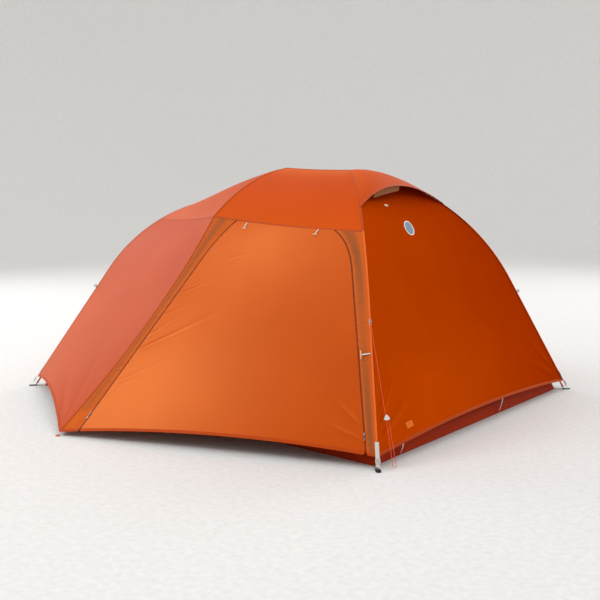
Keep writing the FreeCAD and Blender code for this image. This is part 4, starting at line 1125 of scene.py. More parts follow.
# ---- rainfly --------------------------------------------------------------------------------
@dataclass
class Rainfly:
    """The fly's cloth, its seams and its hems."""

    lines: TentLines
    door_gap: float = 0.0034
    flap_gap: float = 0.0030
    pucker_count: int = 34
    hem_size: tuple[float, float] = (0.014, 0.0024)
    piping_size: tuple[float, float] = (0.0085, 0.0046)
    piping_end: float = 0.945

    def build(self) -> None:
        """Builds every panel of the fly, then the seams that join them."""
        for side in Side:
            self.roof(side)
            self.vestibule(side)
            self.door(side)
        self.ends()
        self.seams()

    def sheet(self, name: str, panel: Panel, body: str, finish: Finish, slot: Slot,
              stands_for: Sequence[str], side: Side = Side.FRONT,
              leg: str = "head_leg_pole") -> bpy.types.Object:
        """Builds one panel as a sheet on its body and logs its cut."""
        obj = Piece(name, panel.shell().on(side), body, finish, slot, stands_for).build()
        rests = ["ridge_pole", "brow_pole"] if slot is Slot.ROOF else [side.name(leg)]
        declare(obj, [panel])
        return obj

    def roof(self, side: Side) -> None:
        """Two roof panels, from the ridge down to the eave seam."""
        # painted light and shade: the head roof is painted lighter along its ridge and its eave,
        # the foot roof lighter towards its leg and its eave
        head_painted_light: Tone = lambda u, v, p: 0.15 + 0.9 * np.exp(-(v / 0.22) ** 2) + 0.35 * v ** 3
        foot_painted_light: Tone = lambda u, v, p: 0.25 + 0.6 * u + 0.2 * v
        head = Panel(self.lines.roof_head, (110, 80), tone=head_painted_light, seed=2)
        foot = Panel(self.lines.roof_foot, (90, 80), tone=foot_painted_light, seed=3)
        self.sheet(side.name("roof_head_cloth"), head, Body.FLY.value, ROOF, Slot.ROOF,
                   [side.name("roof_head_panel")], side)
        self.sheet(side.name("roof_foot_cloth"), foot, Body.FLY.value, ROOF_FOOT, Slot.ROOF,
                   [side.name("roof_foot_panel")], side)

    def vestibule(self, side: Side) -> None:
        """The foot-side panel and the two flaps beside the zips."""
        # painted light: the foot side panel is painted lighter towards its low corner at the foot
        # leg
        side_painted_light: Tone = lambda u, v, p: 0.20 + 0.75 * u * v + 0.25 * np.sin(2.6 * v)
        folds = [Fold((0.02, 0.97), (0.30, 0.62), 0.020, 0.004),
                 Fold((0.03, 0.985), (0.62, 0.80), 0.024, 0.004),
                 Fold((0.97, 0.97), (0.62, 0.80), 0.016, 0.003)]
        panel = Panel(self.lines.foot_side, (120, 120), tone=side_painted_light, folds=folds, seed=4)
        self.sheet(side.name("foot_side_cloth"), panel, Body.FLY.value, LIT_SIDE_NYLON, Slot.SIDE,
                   [side.name("vestibule_panel")], side, "foot_leg_pole")
        left_tone: Tone = lambda u, v, p: (0.85 - 0.75 * np.exp(-((u - 0.42) / 0.20) ** 2)
                                           * np.clip(1.1 - 0.5 * v, 0.0, 1.0)
                                           + 0.6 * np.clip((v - 0.90) / 0.03, 0.0, 1.0))
        left = Panel(self.lines.left_flap, (40, 240), (0.0, self.flap_gap, 0.0, 0.0),
                     tone=left_tone, billow=0.0012, pucker=0.0007, seed=5,
                     folds=self.flap_folds(0.97, 0.35, 26, 5))
        self.sheet(side.name("left_flap_cloth"), left, Body.FLY.value, FLAP_NYLON, Slot.SIDE,
                   [side.name("left_zip_flap")], side)
        right_tone: Tone = lambda u, v, p: (1.0 - 1.0 * np.exp(-((u - 0.47) / 0.27) ** 4)
                                            * (0.75 + 0.25 * np.sin(9.0 * v)))
        right = Panel(self.lines.right_flap, (40, 200), (self.flap_gap, 0.0, 0.0, 0.0),
                      tone=right_tone, billow=0.0008, pucker=0.0007, seed=6,
                      folds=self.flap_folds(0.10, 0.80, 16, 9))
        self.sheet(side.name("right_flap_cloth"), right, Body.FLY.value, FLAP_NYLON, Slot.SIDE,
                   [side.name("right_zip_flap")], side)

    def flap_folds(self, start_u: float, end_u: float, count: int, seed: int) -> list[Fold]:
        """Short creases across a flap, scattered down its zip by a seeded generator."""
        rng = np.random.default_rng(seed)
        places = (np.arange(count) + rng.uniform(0.1, 0.9, count)) / count
        rise = rng.uniform(-0.03, 0.05, count)
        return [Fold((start_u, float(v)), (end_u, float(np.clip(v - r, 0.01, 0.99))), 0.006,
                     0.0032) for v, r in zip(places, rise)]

    def door_folds(self) -> list[Fold]:
        """The long folds across the door, and the short puckers that fan out from its zip."""
        long = [Fold((0.005, 0.655), (0.34, 0.465), 0.0085, 0.0105),
                Fold((0.01, 0.39), (0.22, 0.305), 0.006, 0.0060),
                Fold((0.01, 0.372), (0.16, 0.30), 0.005, 0.005),
                Fold((0.01, 0.49), (0.13, 0.440), 0.006, 0.0062),
                Fold((0.19, 0.218), (0.42, 0.176), 0.008, 0.0035),
                Fold((0.0, 0.81), (0.13, 0.780), 0.005, 0.0055),
                Fold((0.0, 0.802), (0.20, 0.69), 0.006, 0.0055),
                Fold((0.0, 0.60), (0.11, 0.49), 0.006, 0.0055),
                Fold((0.995, 0.90), (0.90, 0.80), 0.008, 0.005),
                Fold((0.995, 0.95), (0.86, 0.90), 0.008, 0.005)]
        rng = np.random.default_rng(11)
        v = np.linspace(0.12, 0.86, self.pucker_count) + rng.uniform(-0.01, 0.01,
                                                                    self.pucker_count)
        reach = rng.uniform(0.025, 0.080, self.pucker_count)
        rise = reach * rng.uniform(0.35, 0.75, self.pucker_count)
        high = rng.uniform(0.0024, 0.0060, self.pucker_count)
        short = [Fold((0.0, float(a)), (float(b), float(a - c)), 0.0045, float(d))
                 for a, b, c, d in zip(v, reach, rise, high)]
        return long + short

    def door(self, side: Side) -> None:
        """The door's cloth and its hem, which ride on the door."""
        body = side.name("fly_door")

        def tone(u: Array, v: Array, p: Array) -> Array:
            """Painted light low on the left, painted shade towards the right edge."""
            low = np.exp(-(((u - 0.10) / 0.42) ** 2 + ((v - 0.86) / 0.38) ** 2))
            high = 0.45 * np.exp(-(((u - 0.35) / 0.5) ** 2 + ((v - 0.12) / 0.25) ** 2))
            return 0.22 + 0.75 * low + high - 0.22 * u * v

        panel = Panel(self.lines.door, (170, 190), (self.door_gap, self.door_gap, 0.0030, 0.0),
                      tone=tone, folds=self.door_folds(), billow=0.004, pucker=0.0004, seed=7)
        self.sheet(side.name("door_cloth"), panel, body, DOOR_NYLON, Slot.DOOR,
                   [side.name("fly_door")], side)
        hem = Seam(self.lines.door_hem, off_patches((self.lines.door, "bottom")), *self.hem_size,
                   ends=(0.006, 0.994)).shell()
        Piece(side.name("door_hem"), hem.on(side), body, HEM_TAPE, Slot.DOOR).build()

    def ends(self) -> None:
        """The head and the foot end panels, each one sheet."""
        folds = [Fold((0.004, 0.93), (0.085, 0.82), 0.008, 0.009),
                 Fold((0.010, 0.95), (0.12, 0.81), 0.009, 0.009),
                 Fold((0.015, 0.87), (0.022, 0.68), 0.008, 0.007),
                 Fold((0.008, 0.98), (0.20, 0.88), 0.012, 0.007),
                 Fold((0.990, 0.97), (0.90, 0.80), 0.010, 0.008),
                 Fold((0.985, 0.985), (0.84, 0.90), 0.012, 0.007)]

        def head_painted_light(u: Array, v: Array, p: Array) -> Array:
            """Painted shadow of the hood across its top, painted shade towards the far leg and
            painted light low on the front half.
            """
            return (0.62 - 0.55 * np.exp(-((v - 0.08) / 0.14) ** 2) - 0.42 * u ** 1.4
                    + 0.30 * np.exp(-(((u - 0.3) / 0.3) ** 2 + ((v - 0.95) / 0.2) ** 2)))

        head = Panel(self.lines.head_end, (140, 130), tone=head_painted_light, folds=folds, seed=8,
                     billow=0.005)
        self.sheet("head_end_cloth", head, Body.FLY.value, SHADED_END_NYLON, Slot.END,
                   ["head_end_panel"])
        foot = Panel(self.lines.foot_end, (120, 110), seed=9, folds=folds[:2] + folds[4:],
                     tone=lambda u, v, p: 0.3 + 0.4 * v)
        self.sheet("foot_end_cloth", foot, Body.FLY.value, LIT_SIDE_NYLON, Slot.END,
                   ["foot_end_panel"], leg="foot_leg_pole")

    def seams(self) -> None:
        """Felled seams along every joined edge, bright piping on the head legs, end hems."""
        k = self.lines
        felled: list[Shell] = []
        hems: list[Shell] = []
        piping: list[Shell] = []
        ridge = [Seam(k.ridge_head, from_core), Seam(k.ridge_foot, from_core)]
        pair = [
            Seam(k.brow.curve(0.0, k.brow.length), from_core, width=0.010),
            Seam(k.eave_head, off_patches((k.vestibule, "top"), (k.roof_head, "bottom")),
                 width=0.009, height=0.0020, lift=0.0006),
            Seam(k.eave_foot, off_patches((k.foot_side, "top"), (k.roof_foot, "bottom")),
                 width=0.009),
            Seam(k.crease, off_patches((k.foot_side, "left"), (k.vestibule, "left")),
                 width=0.010),
            Seam(k.foot_leg.curve(SEAM_START, k.foot_hem), lambda t, p: k.foot_leg.outward(
                SEAM_START + (k.foot_hem - SEAM_START) * t)),
            Seam(k.head_leg.curve(SEAM_START, k.head_seam), lambda t, p: k.head_leg.outward(
                SEAM_START + (k.head_seam - SEAM_START) * t), width=0.010)]
        pipe = Seam(k.head_low, lambda t, p: k.head_leg.outward(
            k.head_seam + (k.head_hem - k.head_seam) * t), *self.piping_size,
                    ends=(0.0, self.piping_end))
        hem_pair = [Seam(k.side_hem, off_patches((k.foot_side, "bottom")), *self.hem_size),
                    Seam(part_of(k.front_hem, 0.0, k.zip_feet[0] - 0.004),
                         off_patches((k.left_flap, "bottom")), *self.hem_size),
                    Seam(part_of(k.front_hem, k.zip_feet[1] + 0.004, 1.0),
                         off_patches((k.right_flap, "bottom")), *self.hem_size, samples=20)]
        for side in Side:
            for seams, into in ((pair, felled), ([pipe], piping), (hem_pair, hems)):
                into += [seam.shell().on(side) for seam in seams]
        felled += [seam.shell() for seam in ridge]
        ends = [Seam(lambda t, p=patch: p(t, np.ones_like(t)), off_patches((patch, "bottom")),
                     *self.hem_size) for patch in (k.head_end, k.foot_end)]
        hems += [seam.shell() for seam in ends]
        for name, shells, finish in (("felled_seams", felled, SEAM_TAPE),
                                     ("hem_bindings", hems, HEM_TAPE),
                                     ("leg_piping", piping, PIPING)):
            Piece(name, joined(shells), Body.FLY.value, finish, Slot.SIDE).build()


@dataclass
class VentHood:
    """The hood over the head end's vent, with its stiff translucent brim and its tab."""

    lines: TentLines
    rim_z: float = 1.030
    rim_middle: tuple[float, float, float] = (0.672, 0.0, 1.128)
    lift: float = 0.003
    hub_radius: float = 0.017
    brim_span: tuple[float, float] = (0.20, 0.52)
    brim_v: float = 0.985
    brim_drop: tuple[float, float, float] = (-0.004, 0.0, -0.030)
    brim_bow: tuple[float, float, float] = (0.004, 0.0, 0.003)
    brim_set_down: float = 0.0035
    tab_at: tuple[float, float] = (0.333, 0.283)
    tab_size: tuple[float, float] = (0.028, 0.014)

    def build(self) -> None:
        """Hood cloth, rim binding, brim and tab."""
        leg = self.lines.head_leg
        front = leg.curve(self.hub_radius, leg.at_height(self.rim_z), -self.lift)
        zero, one = front(np.array(0.0)), front(np.array(1.0))
        rim = through(one, np.array(self.rim_middle), one * MIRROR, 0.5)
        patch = coons(bowed(zero, zero * MIRROR), rim, front, opposite(front))
        panel = Panel(patch, (110, 70), tone=lambda u, v, p: 0.9 - 0.7 * v, seed=12,
                      billow=0.0015)
        hood = Piece("vent_hood_cloth", panel.shell(), Body.FLY.value, ROOF, Slot.ROOF,
                     ["vent_hood"]).build()
        declare(hood, [panel], 0.44)
        binding = Seam(rim, off_patches((patch, "bottom")), width=0.012, height=0.0030).shell()
        Piece("vent_hood_binding", binding, Body.FLY.value, SEAM_TAPE, Slot.ROOF).build()
        self.brim(patch)
        spot = self.lines.on_end(*self.tab_at, 0.0012)
        tab = plate_shell(spot, rounded_outline(*self.tab_size), 0.0014)
        Piece("vent_tab_cloth", tab, Body.FLY.value, TAB_CLOTH, Slot.TAG, ["vent_tab"]).build()

    def brim(self, hood: Patch) -> None:
        """A stiff strip that hangs below the near part of the hood's rim."""
        start, stop = self.brim_span

        def rim(t: Array) -> Array:
            """Points on the hood just above its rim, from the brim's start to its stop."""
            return hood(start + (stop - start) * t, np.full(np.shape(t), self.brim_v))

        def top(t: Array) -> Array:
            """The strip's upper edge, a little under the hood's cloth."""
            return rim(t) - UP * self.brim_set_down

        zero, one = np.array(0.0), np.array(1.0)
        drop = np.array(self.brim_drop)
        low = bowed(rim(zero) + drop, rim(one) + drop, self.brim_bow)
        patch = coons(top, low, bowed(top(zero), low(zero)), bowed(top(one), low(one)))
        brim = Panel(patch, (60, 16), billow=0.0004, pucker=0.0002,
                     tone=lambda u, v, p: 0.10 + 0.2 * v, seed=13)
        piece = Piece("vent_brim", brim.shell(), Body.FLY.value, BRIM_NYLON, Slot.SIDE).build()
        declare(piece, [brim])


@dataclass
class Zips:
    """Zip coils and tapes of the fly doors, and their sliders."""

    lines: TentLines
    pitch: float = 0.0030
    slider_at: float = 0.93

    def frame_at(self, curve: Curve, t: Array) -> tuple[Array, Array, Array]:
        """Points on a zip with directions across it and off the door."""
        path = curve(t)
        along = unit(np.gradient(path, axis=0))
        across = unit(self.lines.door(np.full(t.shape, 0.9), t)
                      - self.lines.door(np.full(t.shape, 0.1), t))
        normal = unit(np.cross(along, across))
        normal = normal * np.sign(((path - CORE) * normal).sum(-1, keepdims=True))
        return path, unit(np.cross(normal, along)), normal

    def coil(self, curve: Curve) -> Shell:
        """A closed coil: a bar whose width and height beat with the pitch of its teeth."""
        length = float(np.linalg.norm(np.diff(curve(np.linspace(0, 1, 200)), axis=0),
                                      axis=1).sum())
        count = int(length * 0.97 / self.pitch * 4)
        t = np.linspace(0.02, 0.99, count)
        path, across, normal = self.frame_at(curve, t)
        beat = np.abs(np.sin(np.arange(count) * math.pi / 4.0))
        return swept_shell(path - normal * 0.0002, across, normal, 0.0015 + 0.0007 * beat,
                           0.0009 + 0.0005 * beat, 3.0, 6)

    def build(self) -> None:
        """Coils, and a slider with its cord pull on each zip."""
        coils = []
        for side in Side:
            for curve in self.lines.zips:
                coils.append(self.coil(curve).on(side))
        Piece("zip_coils", joined(coils), Body.FLY.value, ZIP_COIL, Slot.ZIP_TAPE,
              ["fly_zips"]).build()
        for curve, name in zip(self.lines.zips, ("left_slider", "right_slider")):
            t = np.array([self.slider_at - 0.01, self.slider_at, self.slider_at + 0.01])
            path, across, normal = self.frame_at(curve, t)
            along = unit(path[2] - path[0])
            spot = Spot(path[1] + normal[1] * 0.0033, across[1], along, normal[1])
            for side in Side:
                self.slider(spot, side, side.name(name))

    def slider(self, spot: Spot, side: Side, name: str) -> None:
        """A slider: a waisted body, a bridge over it, and a corded pull that lies down."""
        turn = np.arange(40) * (2.0 * math.pi / 40)
        waist = 0.0037 - 0.0006 * np.cos(2.0 * turn) * np.sin(turn) ** 2
        outline = np.stack([waist * np.sign(np.cos(turn)) * np.abs(np.cos(turn)) ** 0.5,
                            0.0068 * np.sign(np.sin(turn)) * np.abs(np.sin(turn)) ** 0.5], -1)
        body = plate_shell(spot, outline, 0.0034, 0.3)
        s = np.linspace(0.0, math.pi, 16)
        bridge = round_bar(spot.to_world(np.zeros(16), -0.0048 * np.cos(s),
                                         0.0012 + 0.0022 * np.sin(s)), 0.0008, 10)
        loop = np.linspace(0.0, 1.0, 40)
        bow = 0.0020 * np.sin(math.pi * loop) ** 0.5
        run = 0.002 + 0.021 * loop
        left = round_bar(spot.to_world(-bow, run, 0.0030 - 0.0012 * loop), 0.0006, 8)
        right = round_bar(spot.to_world(bow, run, 0.0030 - 0.0012 * loop), 0.0006, 8)
        end_spot = Spot(spot.to_world(0.0, 0.0225, 0.0017), spot.across, spot.along,
                        spot.normal)
        grip = plate_shell(end_spot, rounded_outline(0.0042, 0.0090, 4.0, 24), 0.0018, 0.4)
        shell = joined([part.on(side) for part in (body, bridge, left, right, grip)])
        Piece(name + "_body", shell, name, STEEL, Slot.ZIP_METAL, [name]).build()


@dataclass
class Toggles:
    """Toggles that hold a rolled-up door: a tape that hangs from a seam, and a small bar."""

    lines: TentLines
    places: tuple[float, float] = (0.12, 0.86)
    side_z: float = 0.430
    tape: tuple[float, float] = (0.006, 0.034)
    bar: tuple[float, float] = (0.0025, 0.026)
    side_length: float = 0.040
    root_drop: float = 0.010
    side_root_drop: float = 0.004
    stand_off: float = 0.001

    def build(self) -> None:
        """Two toggles on each door's top seam, and one on each head leg's seam."""
        k = self.lines
        off = self.bar[0] + self.stand_off
        for i, u in enumerate(self.places):
            t = np.array([u - 0.02, u, u + 0.02])
            edge = k.door_top(t)
            across = unit(edge[2] - edge[0])
            down = k.door(np.array(u), np.array(0.03)) - k.door(np.array(u), np.array(0.01))
            normal = unit(np.cross(across, down))
            normal = normal * np.sign(normal @ (edge[1] - CORE))
            along = unit(np.cross(across, normal))
            along = along * np.sign(-along[2])
            spot = Spot(edge[1] + along * self.root_drop + normal * off, across, along, normal)
            self.pair(f"door_toggle_{i + 1}", spot, self.tape[1], self.bar[1])
        s = k.head_leg.at_height(self.side_z)
        v = (s - k.head_seam) / (k.head_hem - k.head_seam)
        at = lambda a, b: k.vestibule(np.array(a), np.array(b))
        normal = unit(np.cross(at(0.975, v) - at(0.965, v), at(0.97, v + 0.01)
                               - at(0.97, v - 0.01)))
        normal = normal * np.sign(normal @ (at(0.97, v) - CORE))
        leg_way = k.head_leg.tangent(np.array(s))
        along = unit(np.cross(leg_way, normal))
        along = along * np.sign(along @ (at(0.9, v) - at(1.0, v)))
        root = k.head_leg.point(s) + along * self.side_root_drop + normal * off
        spot = Spot(root, leg_way, along, normal)
        self.pair("side_toggle", spot, self.side_length, self.side_length)

    def pair(self, name: str, spot: Spot, tape_length: float, bar_length: float) -> None:
        """The same toggle on both sides: its folded tape and its grooved bar."""
        t = np.linspace(0.0, 1.0, 24)
        path = spot.to_world(np.zeros(24), tape_length * t, 0.0008 * np.sin(math.pi * t))
        tape = band(path, spot.normal, self.tape[0], 0.0013)
        reach = bar_length / 2.0 * np.sin(np.linspace(-math.pi / 2.0, math.pi / 2.0, 36))
        x = reach / (bar_length / 2.0)
        radius = self.bar[0] * (np.clip(1.0 - np.abs(x) ** 8, 0.02, 1.0) ** 0.5
                                - 0.22 * np.exp(-(x / 0.16) ** 2))
        bar = round_bar(spot.to_world(reach, np.full(36, tape_length + self.bar[0] + 0.0002),
                                      np.zeros(36)), radius, 14)
        for side in Side:
            for shell, part, finish, slot in ((tape, "tape", WHITE_WEBBING, Slot.WEBBING),
                                              (bar, "bar", CREAM_PLASTIC, Slot.CLIP)):
                body = side.name(name)
                Piece(f"{body}_{part}", shell.on(side), body, finish, slot,
                      [body] if part == "tape" else []).build()


# ---- corners and ground ---------------------------------------------------------------------
@dataclass
class Corners:
    """Webbing and buckles at the four legs, floor straps, guy-out tabs and hem straps."""

    lines: TentLines
    strap_width: float = 0.017
    strap_off: float = 0.0022
    overlap: float = 0.055
    low_z: float = 0.016
    guyout_z: float = 0.552
    floor_head: tuple[float, float] = (1.145, -0.890)
    floor_foot: tuple[float, float] = (-1.145, -0.840)
    hem_straps: tuple[tuple[float, float], ...] = ((-0.720, 0.006), (0.190, 0.004))
    buckle_half: tuple[float, float] = (0.0086, 0.0112)
    buckle_bars: tuple[float, ...] = (-0.0035, 0.0035)
    plate_half: float = 0.011
    pole_inset: float = 0.018

    def build(self) -> None:
        """Builds each kind of strap for both sides as one piece."""
        k = self.lines
        straps: list[Shell] = []
        buckles: list[Shell] = []
        floor: list[Shell] = []
        tabs: list[Shell] = []
        for leg, corner in ((k.head_leg, self.floor_head), (k.foot_leg, self.floor_foot)):
            straps.append(self.fly_strap(leg))
            buckles += self.buckle(leg)
            floor.append(self.floor_strap(leg, corner))
            tabs += self.guyout_tab(leg)
        for name, shells, body, finish, slot, nodes in (
                ("corner_webbing", straps, Body.FLY, WHITE_WEBBING, Slot.WEBBING,
                 ["fly_corner_straps"]),
                ("corner_ladder_buckles", buckles, Body.FLY, PALE_PLASTIC, Slot.CLIP,
                 ["fly_corner_buckles"]),
                ("floor_corner_webbing", floor, Body.FRAME, GREY_WEBBING, Slot.WEBBING,
                 ["floor_corner_straps"]),
                ("guyout_tabs", tabs, Body.FLY, WHITE_WEBBING, Slot.WEBBING, [])):
            both = [shell.on(side) for side in Side for shell in shells]
            Piece(name, joined(both), body.value, finish, slot, nodes).build()
        self.hem_pulls()

    def fly_strap(self, leg: Leg) -> Shell:
        """Webbing sewn up the leg's seam, from above the hem down to the corner plate."""
        hem, low = leg.at_height(self.lines.hem_z), leg.at_height(self.low_z)
        s = np.linspace(hem - self.overlap, low, 40)
        wave = 0.0006 * np.sin(np.linspace(0.0, 3.0 * math.pi, 40))
        path = leg.point(s, -self.strap_off) + leg.outward(s) * wave[:, None]
        return band(path, leg.outward(s), self.strap_width, 0.0018)

    def buckle(self, leg: Leg) -> list[Shell]:
        """A ladder buckle: a rounded frame with a bar across its middle."""
        middle = (leg.at_height(self.lines.hem_z) + leg.at_height(self.low_z)) / 2.0
        tangent, off = leg.tangent(np.array(middle)), leg.outward(np.array(middle))
        spot = Spot(leg.point(middle, -0.0057), unit(np.cross(tangent, off)), tangent, off)
        turn = np.linspace(0.0, 2.0 * math.pi, 49)
        c, s = np.cos(turn), np.sin(turn)
        wide, tall = self.buckle_half
        ring = spot.to_world(wide * np.sign(c) * np.abs(c) ** 0.4,
                             tall * np.sign(s) * np.abs(s) ** 0.4, np.zeros(49))
        frame = swept_shell(ring, unit(ring - spot.centre), off, 0.0016, 0.0021, 3.0, 10)
        x = np.linspace(-0.0084, 0.0084, 9)
        bars = [round_bar(spot.to_world(x, np.full(9, y), np.full(9, 0.0003)), 0.0014, 10)
                for y in self.buckle_bars]
        return [frame, *bars]

    def floor_strap(self, leg: Leg, corner: tuple[float, float]) -> Shell:
        """Webbing from the floor's corner out to the corner plate."""
        pin = leg.point(leg.at_height(0.0, self.pole_inset), self.pole_inset)
        floor = np.array([*corner, 0.0])
        way = (pin - floor) * np.array([1.0, 1.0, 0.0])
        reach, way = float(np.linalg.norm(way)) - self.plate_half, unit(way)
        t = np.linspace(0.004, reach - 0.001, 12)
        path = floor + way * t[:, None] + UP * 0.0012
        return band(path, UP, 0.015, 0.0013)

    def guyout_tab(self, leg: Leg) -> list[Shell]:
        """A loop of webbing from the leg's seam round the guy-out ring."""
        s = leg.at_height(self.guyout_z)
        tangent, off = leg.tangent(np.array(s)), leg.outward(np.array(s))
        x = np.linspace(-1.0, 1.0, 28)
        run, rise = 0.016 * x, 0.0012 + 0.0036 * np.exp(-(x / 0.35) ** 4)
        path = leg.point(s) + tangent * run[:, None] + off * rise[:, None]
        return [band(path, off, 0.010, 0.0010)]

    def hem_pulls(self) -> None:
        """Two short straps from the head end's hem down to the floor's edge."""
        end = self.lines.head_end
        half = abs(float(end(np.array(0.0), np.array(1.0))[1]))
        shells = []
        for y, out in self.hem_straps:
            top = end(np.array((y + half) / (2.0 * half)), np.array(1.0)) - UP * 0.003
            low = np.array([self.floor_head[0] + out, y + 0.020, 0.012])
            t = np.linspace(0.0, 1.0, 24)[:, None]
            path = top + (low - top) * t + np.array([0.003, 0.0, 0.0]) * np.sin(math.pi * t)
            shells.append(band(path, np.array([1.0, 0.0, 0.3]), 0.012, 0.0014))
        Piece("hem_pull_straps", joined(shells), Body.FLY.value, WHITE_WEBBING, Slot.WEBBING,
              ["end_hem_straps"]).build()


@dataclass
class Labels:
    """The blank oval patch and the bright hem tag on the head end."""

    lines: TentLines
    patch_at: tuple[float, float] = (0.435, 0.393)
    patch_size: tuple[float, float] = (0.070, 0.096)
    patch_turn: float = 40.0
    tag_at: tuple[float, float] = (0.14, 0.965)
    tag_size: tuple[float, float] = (0.052, 0.026)

    def build(self) -> None:
        """The patch has a raised rim round a plain field; nothing is drawn on it."""
        spot = self.lines.on_end(*self.patch_at, 0.0010).turned(self.patch_turn)
        width, length = self.patch_size
        field_shell = plate_shell(spot, rounded_outline(width * 0.86, length * 0.88, 2.0, 64),
                                  0.0016)
        turn = np.linspace(0.0, 2.0 * math.pi, 97)
        ring = spot.to_world(width * 0.45 * np.cos(turn), length * 0.46 * np.sin(turn),
                             np.full(97, 0.0003))
        rim = swept_shell(ring, unit(ring - spot.centre), spot.normal, 0.0036, 0.0012, 2.6, 10)
        Piece("blank_patch_field", field_shell, Body.FLY.value, PATCH_FIELD, Slot.PATCH,
              ["end_patch_blank"]).build()
        Piece("blank_patch_rim", rim, Body.FLY.value, PATCH_RIM, Slot.PATCH).build()
        tag_spot = self.lines.on_end(*self.tag_at, 0.0012)
        tag = plate_shell(tag_spot, rounded_outline(*self.tag_size, 8.0), 0.0016)
        Piece("hem_tag_cloth", tag, Body.FLY.value, TAG_CLOTH, Slot.TAG, ["hem_tag"]).build()


@dataclass
class Guyline:
    """The cord from the front head leg's ring, doubled below its tensioner."""

    lines: TentLines
    radius: float = 0.00125
    length: float = 0.8135
    ground: tuple[float, float, float] = (1.232, -0.870, 0.008)
    loop_way: tuple[float, float, float] = (0.77, 0.64, 0.0)
    triangle: tuple[float, float, float] = (0.0112, 0.16, 0.0044)
    knot_size: float = 0.00085
    route: tuple[tuple[float, float, float], ...] = (
        (0.99815, -0.70976, 0.54834), (1.15023, -0.81562, 0.19442),
        (1.22092, -0.87013, 0.02186), (1.22692, -0.87475, 0.00721),
        (1.23708, -0.86525, 0.00879), (1.23108, -0.86114, 0.02265),
        (1.16247, -0.81413, 0.18120))

    def build(self) -> None:
        """The cord as one smooth spline, with its knot and its tensioner."""
        curve = bpy.data.curves.new("guyline_cord", "CURVE")
        curve.dimensions = "3D"
        spline = curve.splines.new("NURBS")
        spline.points.add(len(self.route) - 1)
        for point, place in zip(spline.points, self.route):
            point.co = (*place, 1.0)
        spline.order_u = 3
        spline.use_endpoint_u = True
        spline.resolution_u = 12
        curve.bevel_depth = self.radius
        curve.bevel_resolution = 4
        curve.use_fill_caps = True
        curve.materials.append(ORANGE_CORD.material())
        cord = bpy.data.objects.new("guyline_cord", curve)
        bpy.context.scene.collection.objects.link(cord)
        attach(cord, Body.FLY.value)
        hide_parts("guyline")
        tensioner = self.tensioner()
        knot = self.knot()
        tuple(self.route[0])
        self.length
        LOG.info("guyline_cord: %d points on %s", len(self.route), Body.FLY.value)

    def tensioner(self) -> bpy.types.Object:
        """A flat rounded triangle that the line is reeved through."""
        way = unit(np.array(self.ground) - np.array(self.route[0]))
        loop_way = np.array(self.loop_way)
        across = unit(loop_way - way * float(loop_way @ way))
        spot = Spot(box_middle("line_tensioner"), across, way, unit(np.cross(across, way)))
        radius, bulge, thickness = self.triangle
        turn = np.arange(48) * (2.0 * math.pi / 48)
        reach = radius * (1.0 + bulge * np.cos(3.0 * (turn + math.pi / 2.0)))
        outline = np.stack([reach * np.cos(turn), reach * np.sin(turn)], -1)
        return Piece("guyline_tensioner", plate_shell(spot, outline, thickness, 0.35),
                     Body.FLY.value, PALE_PLASTIC, Slot.CLIP, ["line_tensioner"]).build()

    def knot(self) -> bpy.types.Object:
        """A small round knot: a trefoil of cord round the start of the line."""
        centre = box_middle("guyline_knot")
        t = np.linspace(0.0, 2.0 * math.pi, 97)
        path = centre + self.knot_size * np.stack([np.sin(t) + 2 * np.sin(2 * t),
                                         np.cos(t) - 2 * np.cos(2 * t), -np.sin(3 * t)], -1)
        along = unit(np.gradient(path, axis=0))
        side = unit(np.cross(along, path - centre + UP * 1e-4))
        shell = swept_shell(path, side, unit(np.cross(side, along)), self.radius, self.radius,
                            2.0, 10)
        return Piece("guyline_knot_cord", shell, Body.FLY.value, ORANGE_CORD, Slot.CORD,
                     ["guyline_knot"]).build()


